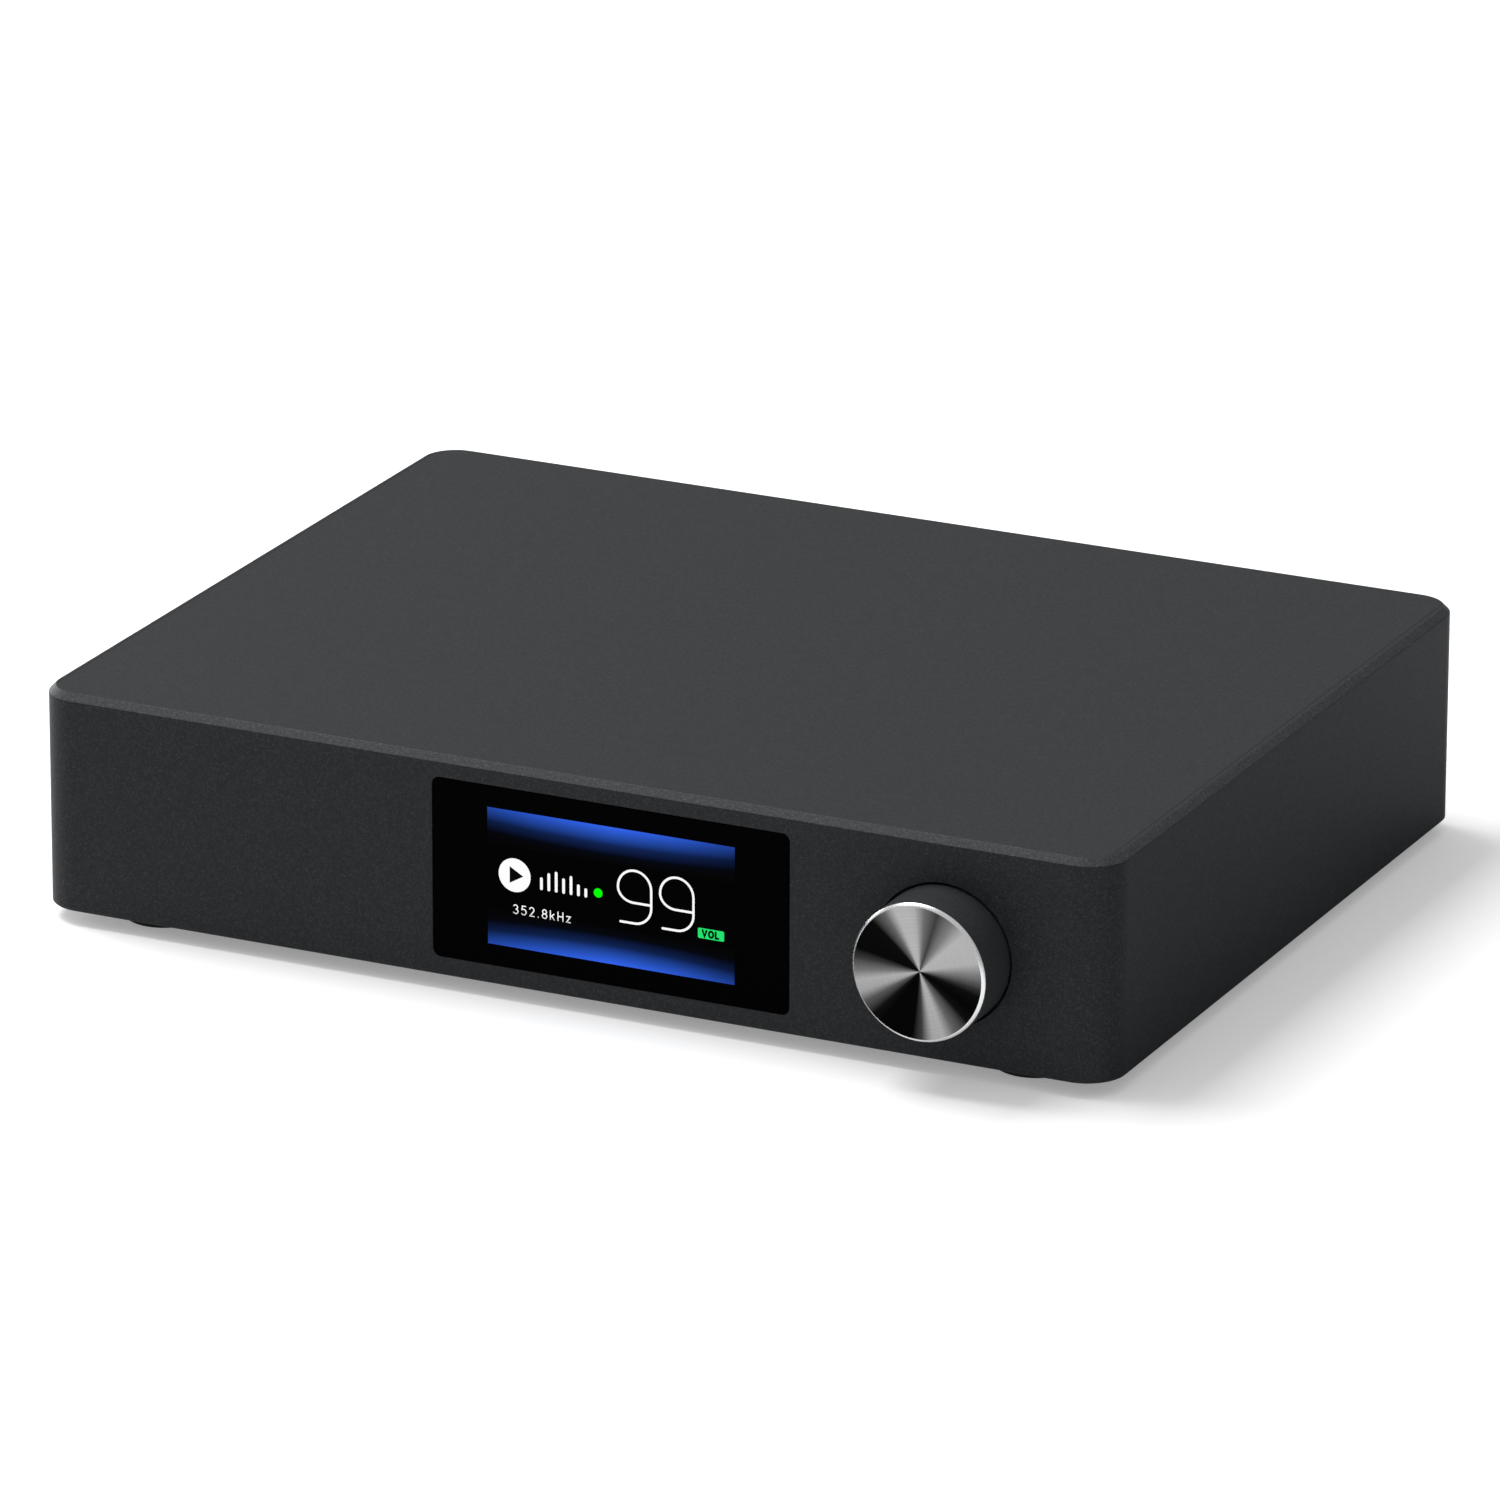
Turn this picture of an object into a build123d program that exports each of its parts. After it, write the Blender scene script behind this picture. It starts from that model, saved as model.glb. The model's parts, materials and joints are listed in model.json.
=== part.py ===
from build123d import *
import os

os.makedirs("parts", exist_ok=True)

# ---------------------------------------------------------------- driving dimensions, mm
# The frame is +X to the user's right, +Y to the back, +Z up, with z = 0 on the table.
case_width = 196.0
case_depth = 148.0
case_top = 40.9
shell_bottom = 2.6
corner_radius = 7.0
top_chamfer = 1.2
side_wall = 3.0
front_wall = 4.5
plate = 2.0
gap = 0.3

front = -case_depth / 2
back = case_depth / 2
inner_front = front + front_wall
ceiling = case_top - side_wall
plate_bottom = shell_bottom + gap
plate_top = plate_bottom + plate
inner_x = case_width / 2 - side_wall
panel_x = 90.5
panel_y = back - 0.5 - plate
pillar_x = 82.0

window_x = 8.8
window_z = 21.5
window_width = 65.0
window_height = 31.4
window_corner = 1.4
window_thick = 1.1
gasket_thick = 0.25
lcd_x = 8.95
lcd_z = 21.475
lcd_width = 44.9
lcd_height = 23.8
lcd_border = 2.0

knob_x = 68.5
knob_z = 20.9
knob_radius = 11.8
knob_reach = 9.6
knob_travel = 0.5
pocket_radius = knob_radius + 0.5
pocket_depth = 2.0
shaft_radius = 3.0
shaft_flat = 2.2
running_clearance = 0.06
bushing_radius = 4.5

foot_x = 80.0
foot_y = 62.3
foot_radius = 7.0

front_board_y = -62.9
board_thick = 1.6
board_z = 8.2
board_top = board_z + board_thick

rear_reach = back + knob_reach
socket_z = 21.2
xlr_x = (69.5, 44.5)
phono_x = (24.5, 10.5, -13.0)
antenna_x = -1.5
antenna_z = 27.5
phono_z = 17.6
optical_x = -26.0
optical_z = 15.4
usb_x = -39.5
switch_x = -53.0
inlet_x = -71.0


def at_y(y):
    """Upright plane at depth y, its own x and y running along X and Z; extrudes come forward."""
    return Plane.XZ.offset(-y)


def block(x, y, z, mode=Mode.ADD):
    """Box between the two limits given on each axis."""
    with Locations(((x[0] + x[1]) / 2, (y[0] + y[1]) / 2, (z[0] + z[1]) / 2)):
        Box(x[1] - x[0], y[1] - y[0], z[1] - z[0], mode=mode)


def rod(x, z, radius, y, mode=Mode.ADD):
    """Round bar along Y between the two depths in y."""
    with BuildSketch(at_y(y[1])) as section:
        with Locations((x, z)):
            Circle(radius)
    extrude(section.sketch, amount=y[1] - y[0], mode=mode)


def post(x, y, radius, z, mode=Mode.ADD):
    """Round upright between the two heights in z."""
    with BuildSketch(Plane.XY.offset(z[0])) as section:
        with Locations((x, y)):
            Circle(radius)
    extrude(section.sketch, amount=z[1] - z[0], mode=mode)


def lead(points, radius):
    """Round lead that runs smoothly through the points."""
    with BuildLine() as run:
        Spline(*points)
    with BuildSketch(Plane(origin=run.line @ 0, z_dir=run.line % 0)) as section:
        Circle(radius)
    sweep(section.sketch, path=run.line)


def save(builder, name):
    builder.part.label = name
    export_step(builder.part, f"parts/{name}.step")


# ---------------------------------------------------------------- case
bottom_screw_spots = [(sx * 91.2, y) for sx in (-1, 1) for y in (-65.8, 65.8)]
panel_screw_spots = [(sx * 86.0, z) for sx in (-1, 1) for z in (9.4, 33.2)]
front_board_spots = [(-27.0, 33.5), (-27.0, 9.5), (54.0, 33.5), (54.0, 9.5)]
lcd_hole_width = lcd_width + 2 * lcd_border + 2.3
lcd_hole_height = lcd_height + 2 * lcd_border + 1.4
ir_x = -20.3
screw_core = 1.25

with BuildPart() as case_shell:
    with BuildSketch(Plane.XY.offset(shell_bottom)):
        RectangleRounded(case_width, case_depth, corner_radius)
    extrude(amount=case_top - shell_bottom)
    chamfer(case_shell.faces().sort_by(Axis.Z)[-1].edges(), top_chamfer)
    chamfer(case_shell.faces().sort_by(Axis.Z)[0].edges(), 0.25)
    cavity_back = back - side_wall
    with BuildSketch(Plane.XY.offset(shell_bottom)):
        with Locations((0, (inner_front + cavity_back) / 2)):
            RectangleRounded(2 * inner_x, cavity_back - inner_front, corner_radius - side_wall)
    extrude(amount=ceiling - shell_bottom, mode=Mode.SUBTRACT)
    block((-panel_x, panel_x), (60, back + 1), (shell_bottom, ceiling), Mode.SUBTRACT)
    for sx in (-1, 1):
        rear_post = sorted((sx * pillar_x, sx * (inner_x + 1)))
        block(rear_post, (61.0, panel_y), (plate_top, ceiling + 1))
        front_post = sorted((sx * 87.0, sx * (inner_x + 1)))
        block(front_post, (inner_front - 1, -62.0), (plate_top, ceiling + 1))
    for x, y in bottom_screw_spots:
        post(x, y, screw_core, (plate_top, plate_top + 8), Mode.SUBTRACT)
    for x, z in panel_screw_spots:
        rod(x, z, screw_core, (panel_y - 8, panel_y), Mode.SUBTRACT)
    # the window's rebate, and the hole that the display looks through
    with BuildSketch(at_y(front)):
        with Locations((window_x, window_z)):
            RectangleRounded(window_width, window_height, window_corner)
    extrude(amount=-(window_thick + gasket_thick + 0.05), mode=Mode.SUBTRACT)
    with BuildSketch(at_y(front)):
        with Locations((lcd_x, lcd_z)):
            Rectangle(lcd_hole_width, lcd_hole_height)
    extrude(amount=-front_wall, mode=Mode.SUBTRACT)
    rod(ir_x, window_z, 2.2, (front, inner_front), Mode.SUBTRACT)
    # the knob's pocket and the bushing's hole
    rod(knob_x, knob_z, pocket_radius, (front, front + pocket_depth), Mode.SUBTRACT)
    rod(knob_x, knob_z, bushing_radius + 0.1, (front, inner_front), Mode.SUBTRACT)
    for x, z in front_board_spots:
        rod(x, z, 2.6, (inner_front - 0.5, front_board_y))
        rod(x, z, screw_core, (front_board_y - 6, front_board_y), Mode.SUBTRACT)
save(case_shell, "case_shell")

with BuildPart() as bottom_plate:
    with BuildSketch(Plane.XY.offset(plate_bottom)):
        with Locations((0, (inner_front + back - side_wall) / 2)):
            RectangleRounded(2 * inner_x - 0.6, back - side_wall - inner_front - 0.6, 3.7)
        with Locations((0, 68.0)):
            Rectangle(2 * panel_x - 0.6, 11.0)
    extrude(amount=plate)
    with Locations(*[Plane((x, y, plate_bottom), z_dir=(0, 0, -1)) for x, y in bottom_screw_spots]):
        CounterSinkHole(1.7, 3.1, plate)
    # cooling slots
    with BuildSketch(Plane.XY.offset(plate_bottom)):
        with Locations((-60, 0)):
            with GridLocations(5.0, 1, 9, 1):
                SlotOverall(26.0, 2.2, rotation=90)
    extrude(amount=plate, mode=Mode.SUBTRACT)
save(bottom_plate, "bottom_plate")

foot_names = {(-1, -1): "foot_front_left", (1, -1): "foot_front_right",
              (-1, 1): "foot_rear_left", (1, 1): "foot_rear_right"}
for (sx, sy), foot_name in foot_names.items():
    with BuildPart() as foot:
        post(sx * foot_x, sy * foot_y, foot_radius, (0, plate_bottom))
        fillet(foot.faces().sort_by(Axis.Z)[0].edges(), 0.5)
        post(sx * foot_x, sy * foot_y, 3.0, (0, 0.8), Mode.SUBTRACT)
    save(foot, foot_name)

with BuildPart() as bottom_screws:
    for x, y in bottom_screw_spots:
        head = plate_bottom + 0.15
        post(x, y, screw_core - 0.03, (head + 1.0, plate_top + 6.5))
        with BuildSketch(Plane.XY.offset(head)):
            with Locations((x, y)):
                Circle(2.85)
        with BuildSketch(Plane.XY.offset(head + 1.65)):
            with Locations((x, y)):
                Circle(screw_core - 0.03)
        loft()
        with BuildSketch(Plane.XY.offset(head)):
            with Locations((x, y)):
                RegularPolygon(1.1, 6)
        extrude(amount=0.8, mode=Mode.SUBTRACT)
save(bottom_screws, "bottom_screws")

# ---------------------------------------------------------------- rear panel and its openings
with BuildPart() as rear_panel:
    panel_bottom = plate_top + gap
    panel_top = ceiling - gap
    block((-panel_x + gap, panel_x - gap), (panel_y, panel_y + plate), (panel_bottom, panel_top))
    for x in xlr_x:
        rod(x, socket_z, 11.0, (panel_y, panel_y + plate), Mode.SUBTRACT)
    for x in phono_x:
        rod(x, phono_z, 4.6, (panel_y, panel_y + plate), Mode.SUBTRACT)
    rod(antenna_x, antenna_z, 3.3, (panel_y, panel_y + plate), Mode.SUBTRACT)
    deep = (panel_y, panel_y + plate)
    block((optical_x - 5.05, optical_x + 5.05), deep, (board_top - 0.2, 21.0), Mode.SUBTRACT)
    block((usb_x - 6.3, usb_x + 6.3), deep, (board_top - 0.2, 21.2), Mode.SUBTRACT)
    block((switch_x - 5.4, switch_x + 5.4), deep, (socket_z - 6.9, socket_z + 6.9), Mode.SUBTRACT)
    block((inlet_x - 9.0, inlet_x + 9.0), deep, (socket_z - 5.4, socket_z + 5.4), Mode.SUBTRACT)
    for x, z in panel_screw_spots:
        rod(x, z, 1.65, deep, Mode.SUBTRACT)
save(rear_panel, "rear_panel")

with BuildPart() as rear_panel_screws:
    for x, z in panel_screw_spots:
        rod(x, z, screw_core - 0.03, (panel_y - 6.5, panel_y + plate + 0.1))
        rod(x, z, 2.75, (panel_y + plate, panel_y + plate + 1.5))
        with BuildSketch(at_y(panel_y + plate + 1.5)):
            with Locations((x, z)):
                RegularPolygon(1.1, 6)
        extrude(amount=0.9, mode=Mode.SUBTRACT)
save(rear_panel_screws, "rear_panel_screws")

# ---------------------------------------------------------------- display
with BuildPart() as display_window:
    with BuildSketch(at_y(front + 0.03 + window_thick)):
        with Locations((window_x, window_z)):
            RectangleRounded(window_width - 0.2, window_height - 0.2, window_corner - 0.1)
    extrude(amount=window_thick)
    chamfer(display_window.faces().sort_by(Axis.Y)[0].edges(), 0.12)
save(display_window, "display_window")

gasket_back = front + window_thick + gasket_thick + 0.04
with BuildPart() as window_gasket:
    with BuildSketch(at_y(gasket_back)):
        with Locations((window_x, window_z)):
            RectangleRounded(window_width - 0.5, window_height - 0.5, window_corner - 0.2)
        with Locations((lcd_x, lcd_z)):
            Rectangle(lcd_width + 1.6, lcd_height + 1.6, mode=Mode.SUBTRACT)
        with Locations((ir_x, window_z)):
            Circle(2.1, mode=Mode.SUBTRACT)
    extrude(amount=gasket_thick)
save(window_gasket, "window_gasket")

lcd_front = gasket_back + 0.05
with BuildPart() as lcd_panel:
    with BuildSketch(at_y(lcd_front + 1.3)):
        with Locations((lcd_x, lcd_z)):
            Rectangle(lcd_width + 2 * lcd_border, lcd_height + 2 * lcd_border)
    extrude(amount=1.3)
save(lcd_panel, "lcd_panel")

frame_back = inner_front - 0.1
with BuildPart() as lcd_frame:
    with BuildSketch(at_y(frame_back)):
        with Locations((lcd_x, lcd_z)):
            Rectangle(lcd_hole_width - 0.5, lcd_hole_height - 0.5)
    extrude(amount=frame_back - lcd_front)
    with BuildSketch(at_y(frame_back - 0.4)):
        with Locations((lcd_x, lcd_z)):
            Rectangle(lcd_width + 2 * lcd_border + 0.1, lcd_height + 2 * lcd_border + 0.1)
    extrude(amount=frame_back - lcd_front, mode=Mode.SUBTRACT)
save(lcd_frame, "lcd_frame")

with BuildPart() as lcd_backlight:
    with BuildSketch(at_y(frame_back - 0.45)):
        with Locations((lcd_x, lcd_z)):
            Rectangle(lcd_width + 2 * lcd_border, lcd_height + 2 * lcd_border)
    extrude(amount=frame_back - 0.45 - (lcd_front + 1.35))
save(lcd_backlight, "lcd_backlight")

with BuildPart() as front_board:
    block((-31.0, 84.0), (front_board_y, front_board_y + board_thick), (6.5, 36.5))
    for x, z in front_board_spots:
        rod(x, z, 1.5, (front_board_y, front_board_y + board_thick), Mode.SUBTRACT)
    # a socket for the flat cable on its back
    block((0.0, 18.0), (front_board_y + board_thick, front_board_y + board_thick + 3.0), (12.0, 16.0))
save(front_board, "front_board")

with BuildPart() as front_board_screws:
    board_back = front_board_y + board_thick
    for x, z in front_board_spots:
        rod(x, z, screw_core - 0.03, (front_board_y - 5, board_back + 0.1))
        rod(x, z, 2.4, (board_back, board_back + 1.6))
        with BuildSketch(at_y(board_back + 1.6)):
            with Locations((x, z)):
                RegularPolygon(0.9, 6)
        extrude(amount=0.8, mode=Mode.SUBTRACT)
save(front_board_screws, "front_board_screws")

with BuildPart() as ir_receiver:
    block((ir_x - 3.0, ir_x + 3.0), (front_board_y - 3.2, front_board_y), (window_z - 3.5, window_z + 3.5))
    rod(ir_x, window_z, 1.9, (inner_front - 1.5, front_board_y - 3.0))
    fillet(ir_receiver.faces().sort_by(Axis.Y)[0].edges(), 1.2)
save(ir_receiver, "ir_receiver")

# ---------------------------------------------------------------- encoder and knob
housing_front = inner_front + 0.02
housing_back = front_board_y - 0.02
bore = shaft_radius + running_clearance
pocket_floor = front + pocket_depth
bushing_front = pocket_floor - 3.2
knob_back = front + 1.0
knob_front = front - knob_reach
rotor_y = (-68.4, -66.6)

with BuildPart() as encoder_housing:
    half = 6.4
    block((knob_x - half, knob_x + half), (housing_front, housing_back), (knob_z - half, knob_z + half))
    chamfer(encoder_housing.edges().filter_by(Axis.Y), 0.8)
    rod(knob_x, knob_z, bushing_radius, (bushing_front, housing_front + 0.5))
    rod(knob_x, knob_z, 5.6, (housing_front + 0.8, housing_back - 0.7), Mode.SUBTRACT)
    rod(knob_x, knob_z, bore, (bushing_front, housing_front + 1.0), Mode.SUBTRACT)
save(encoder_housing, "encoder_housing")

with BuildPart() as encoder_nut:
    with BuildSketch(at_y(pocket_floor - 0.02)):
        with Locations((knob_x, knob_z)):
            RegularPolygon(6.35, 6)
            Circle(bushing_radius + 0.03, mode=Mode.SUBTRACT)
    extrude(amount=2.0)
save(encoder_nut, "encoder_nut")


def d_section(radius, flat):
    """Circle of the given radius at the knob's axis, cut by a flat at that height above it."""
    with Locations((knob_x, knob_z)):
        Circle(radius)
    with Locations((knob_x, knob_z + flat + radius)):
        Rectangle(4 * radius, 2 * radius, mode=Mode.SUBTRACT)


shaft_y = (knob_front + 2.4, -64.6)
with BuildPart() as encoder_shaft:
    rod(knob_x, knob_z, shaft_radius, shaft_y)
    flat_box = (knob_z + shaft_flat, knob_z + shaft_radius + 1)
    wide = (knob_x - 4, knob_x + 4)
    block(wide, (shaft_y[0], bushing_front - 0.7), flat_box, Mode.SUBTRACT)
    block(wide, (rotor_y[0] - knob_travel - 0.2, shaft_y[1]), flat_box, Mode.SUBTRACT)
save(encoder_shaft, "encoder_shaft")

with BuildPart() as encoder_rotor:
    rod(knob_x, knob_z, 5.3, rotor_y)
    with BuildSketch(at_y(rotor_y[1])):
        d_section(bore, shaft_flat + running_clearance)
    extrude(amount=rotor_y[1] - rotor_y[0], mode=Mode.SUBTRACT)
save(encoder_rotor, "encoder_rotor")

with BuildPart() as encoder_dome:
    rod(knob_x, knob_z, 3.2, (-64.0, housing_back - 0.7))
    fillet(encoder_dome.faces().sort_by(Axis.Y)[0].edges(), 0.15)
save(encoder_dome, "encoder_dome")

with BuildPart() as volume_knob:
    rod(knob_x, knob_z, knob_radius, (knob_front, knob_back))
    chamfer(volume_knob.faces().sort_by(Axis.Y)[0].edges(), 0.45)
    chamfer(volume_knob.faces().sort_by(Axis.Y)[-1].edges(), 0.3)
    rod(knob_x, knob_z, 9.8, (knob_front + 2.0, knob_back), Mode.SUBTRACT)
    rod(knob_x, knob_z, 5.2, (knob_front + 1.5, bushing_front - 0.9))
    with BuildSketch(at_y(bushing_front - 0.9)):
        d_section(bore, shaft_flat + running_clearance)
    extrude(amount=bushing_front - 0.9 - shaft_y[0] + 0.1, mode=Mode.SUBTRACT)
save(volume_knob, "volume_knob")

# ---------------------------------------------------------------- circuit boards
main_x = (-32.0, 80.5)
main_y = (-54.0, 70.8)
psu_x = (-91.0, -36.0)
psu_y = (-54.0, 48.0)
standoff_spots = [(x, y) for x in (main_x[0] + 4, main_x[1] - 4) for y in (-50.0, 50.0)]
standoff_spots += [(x, y) for x in (psu_x[0] + 4, psu_x[1] - 4) for y in (-50.0, 44.0)]

with BuildPart() as main_board:
    block(main_x, main_y, (board_z, board_top))
    for x, y in standoff_spots[:4]:
        post(x, y, 1.6, (board_z, board_top), Mode.SUBTRACT)
    block((0.0, 18.0), (-50.0, -46.0), (board_top, board_top + 3.0))
save(main_board, "main_board")

with BuildPart() as psu_board:
    block(psu_x, psu_y, (board_z, board_top))
    for x, y in standoff_spots[4:]:
        post(x, y, 1.6, (board_z, board_top), Mode.SUBTRACT)
save(psu_board, "psu_board")

with BuildPart() as board_standoffs:
    for x, y in standoff_spots:
        with BuildSketch(Plane.XY.offset(plate_top)):
            with Locations((x, y)):
                RegularPolygon(3.0, 6)
                Circle(1.25, mode=Mode.SUBTRACT)
        extrude(amount=board_z - plate_top)
save(board_standoffs, "board_standoffs")

with BuildPart() as board_screws:
    for x, y in standoff_spots:
        post(x, y, screw_core - 0.03, (plate_top + 0.3, board_top + 0.1))
        post(x, y, 2.6, (board_top, board_top + 1.7))
        with BuildSketch(Plane.XY.offset(board_top + 1.7)):
            with Locations((x, y)):
                RegularPolygon(1.0, 6)
        extrude(amount=-0.9, mode=Mode.SUBTRACT)
save(board_screws, "board_screws")


def chip(x, y, width, depth, height):
    block((x - width / 2, x + width / 2), (y - depth / 2, y + depth / 2), (board_top, board_top + height))


with BuildPart() as signal_chips:
    for x, y in ((20.0, -8.0), (44.0, -8.0)):
        chip(x, y, 9.0, 9.0, 1.2)
    chip(-18.0, 30.0, 12.0, 12.0, 1.4)
    chip(4.0, 16.0, 7.0, 7.0, 1.0)
    for x in (18.0, 30.0, 42.0, 54.0):
        for y in (16.0, 26.0):
            chip(x, y, 5.0, 6.0, 1.6)
    for x in (24.0, 36.0, 48.0):
        chip(x, -34.0, 6.5, 6.5, 1.8)
save(signal_chips, "signal_chips")

with BuildPart() as capacitors:
    for x in (60.0, 70.0):
        for y in (-40.0, -28.0, -16.0, -4.0, 8.0):
            post(x, y, 3.9, (board_top, board_top + 11.0))
    for x in (-18.0, -6.0, 6.0):
        post(x, -22.0, 3.1, (board_top, board_top + 8.0))
    for y in (-38.0, -26.0, -14.0):
        post(-44.0, y, 5.0, (board_top, board_top + 20.0))
    chamfer(capacitors.faces().filter_by(Axis.Z).sort_by(Axis.Z)[13:].edges(), 0.4)
save(capacitors, "capacitors")

with BuildPart() as clock_cans:
    for x, y in ((-22.0, 8.0), (-8.0, 2.0)):
        chip(x, y, 9.0, 7.0, 3.0)
    fillet(clock_cans.edges().filter_by(Axis.Z), 1.0)
save(clock_cans, "clock_cans")

with BuildPart() as output_relays:
    for x in (16.0, 30.0, 44.0, 58.0):
        chip(x, 40.0, 10.0, 7.4, 8.5)
save(output_relays, "output_relays")

with BuildPart() as wireless_module:
    chip(-6.0, 46.0, 14.0, 17.0, 1.0)
    block((-11.0, -1.0), (39.0, 49.0), (board_top + 1.0, board_top + 3.0))
save(wireless_module, "wireless_module")

# ---------------------------------------------------------------- power supply
with BuildPart() as transformer:
    chip(-66.0, 2.0, 30.0, 26.0, 5.0)
    block((-79.0, -53.0), (-9.0, 13.0), (board_top + 5.0, board_top + 18.0))
    block((-81.0, -51.0), (-4.0, 8.0), (board_top + 5.0, board_top + 22.0))
save(transformer, "transformer")

with BuildPart() as mains_capacitor:
    with BuildSketch(at_y(36.0)):
        with Locations((-60.0, board_top + 8.25)):
            Circle(8.2)
    extrude(amount=20.0)
    chamfer(mains_capacitor.faces().filter_by(Axis.Y).edges(), 0.6)
save(mains_capacitor, "mains_capacitor")

with BuildPart() as heat_sink:
    block((-86.0, -84.0), (-44.0, -14.0), (board_top, board_top + 20.0))
    for i in range(6):
        y = -43.7 + i * 5.6
        block((-84.2, -78.0), (y, y + 1.4), (board_top + 2.0, board_top + 20.0))
save(heat_sink, "heat_sink")

with BuildPart() as fuse:
    with BuildSketch(at_y(42.0)):
        with Locations((-84.0, board_top + 5.0)):
            Circle(2.6)
    extrude(amount=20.0)
    block((-86.0, -82.0), (22.6, 26.6), (board_top, board_top + 5.0))
    block((-86.0, -82.0), (37.4, 41.4), (board_top, board_top + 5.0))
save(fuse, "fuse")

# ---------------------------------------------------------------- phono sockets
phono_mouth = rear_reach
phono_names = ("left", "right", "coax")
with BuildPart() as phono_shells:
    for x in phono_x:
        rod(x, phono_z, 4.15, (panel_y - 1.4, phono_mouth))
        rod(x, phono_z, 4.5, (panel_y - 1.4, panel_y + plate + 0.6))
        rod(x, phono_z, 3.55, (panel_y - 1.4, phono_mouth), Mode.SUBTRACT)
save(phono_shells, "phono_shells")

for x, name in zip(phono_x, phono_names):
    with BuildPart() as insulator:
        rod(x, phono_z, 3.5, (panel_y - 1.4, phono_mouth - 0.5))
        rod(x, phono_z, 1.75, (phono_mouth - 7.6, phono_mouth - 0.5), Mode.SUBTRACT)
    save(insulator, f"phono_insulator_{name}")

with BuildPart() as phono_contacts:
    for x in phono_x:
        rod(x, phono_z, 1.7, (phono_mouth - 7.6, phono_mouth - 1.4))
        rod(x, phono_z, 1.4, (phono_mouth - 7.0, phono_mouth - 1.4), Mode.SUBTRACT)
save(phono_contacts, "phono_contacts")

with BuildPart() as phono_blocks:
    for low, high in ((phono_x[1] - 5.6, phono_x[0] + 5.6), (phono_x[2] - 5.2, phono_x[2] + 5.2)):
        block((low, high), (59.0, panel_y - 1.5), (board_top, phono_z + 5.6))
save(phono_blocks, "phono_blocks")

# ---------------------------------------------------------------- balanced sockets
flange_y = (panel_y + plate, panel_y + plate + 1.6)
cup_radius = 9.4
cup_floor = flange_y[1] - 15.5
pin_tip = flange_y[1] - 4.8
for x, name in zip(xlr_x, ("left", "right")):
    with BuildPart() as xlr_housing:
        rod(x, socket_z, 11.9, flange_y)
        rod(x, socket_z, 10.8, (cup_floor - 2.0, flange_y[1]))
        rod(x, socket_z, cup_radius, (cup_floor, flange_y[1]), Mode.SUBTRACT)
        key_z = (socket_z + 8.5, socket_z + 10.1)
        block((x - 1.6, x + 1.6), (cup_floor + 5, flange_y[1]), key_z, Mode.SUBTRACT)
        with BuildSketch(at_y(cup_floor)):
            with Locations((x, socket_z)):
                with PolarLocations(4.8, 3, start_angle=30):
                    Circle(1.2)
        extrude(amount=2.0, mode=Mode.SUBTRACT)
    save(xlr_housing, f"xlr_housing_{name}")

with BuildPart() as xlr_pins:
    for x in xlr_x:
        with BuildSketch(at_y(pin_tip)):
            with Locations((x, socket_z)):
                with PolarLocations(4.8, 3, start_angle=30):
                    Circle(1.18)
        extrude(amount=pin_tip - cup_floor + 5.0)
    fillet(xlr_pins.faces().filter_by(Axis.Y).sort_by(Axis.Y)[-6:].edges(), 0.6)
save(xlr_pins, "xlr_pins")

# ---------------------------------------------------------------- antenna jack
with BuildPart() as antenna_jack:
    rod(antenna_x, antenna_z, 3.1, (panel_y - 2.5, 82.4))
    chamfer(antenna_jack.faces().sort_by(Axis.Y)[-1].edges(), 0.3)
    rod(antenna_x, antenna_z, 4.2, (panel_y - 2.5, panel_y))
    relief = (panel_y, panel_y + plate + 2.3)
    with BuildSketch(at_y(relief[1])):
        with Locations((antenna_x, antenna_z)):
            Circle(3.6)
            Circle(2.6, mode=Mode.SUBTRACT)
    extrude(amount=relief[1] - relief[0], mode=Mode.SUBTRACT)
    rod(antenna_x, antenna_z, 2.3, (76.0, 82.4), Mode.SUBTRACT)
    rod(antenna_x, antenna_z, 0.6, (75.5, 80.5))
    rod(antenna_x, antenna_z, 1.3, (panel_y - 5.0, panel_y - 2.0))
save(antenna_jack, "antenna_jack")

with BuildPart() as antenna_nut:
    with BuildSketch(at_y(panel_y + plate + 2.0)):
        with Locations((antenna_x, antenna_z)):
            RegularPolygon(4.6, 6)
            Circle(3.15, mode=Mode.SUBTRACT)
    extrude(amount=1.97)
save(antenna_nut, "antenna_nut")

# ---------------------------------------------------------------- optical socket and its shutter
shutter_y = 73.1
shutter_z = 18.5
opening_x = (optical_x - 3.7, optical_x + 3.7)
opening_z = (11.4, 19.3)
with BuildPart() as optical_housing:
    block((optical_x - 4.9, optical_x + 4.9), (59.0, 74.4), (board_top, 20.8))
    block(opening_x, (64.8, 74.4), opening_z, Mode.SUBTRACT)
    with BuildSketch(Plane.YZ.offset(optical_x - 4.4)):
        with Locations((shutter_y, shutter_z)):
            Circle(0.6)
    extrude(amount=8.8, mode=Mode.SUBTRACT)
    rod(optical_x, 14.6, 1.5, (64.7, 66.0))
save(optical_housing, "optical_housing")

with BuildPart() as optical_shutter:
    block((opening_x[0] + 0.25, opening_x[1] - 0.25), (72.75, 73.45), (11.7, shutter_z))
    with BuildSketch(Plane.YZ.offset(optical_x - 4.3)):
        with Locations((shutter_y, shutter_z)):
            Circle(0.55)
    extrude(amount=8.6)
save(optical_shutter, "optical_shutter")

# ---------------------------------------------------------------- square usb socket
usb_z = (board_top, 20.9)
usb_y = (58.8, 74.6)
usb_middle = (usb_z[0] + usb_z[1]) / 2


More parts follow.
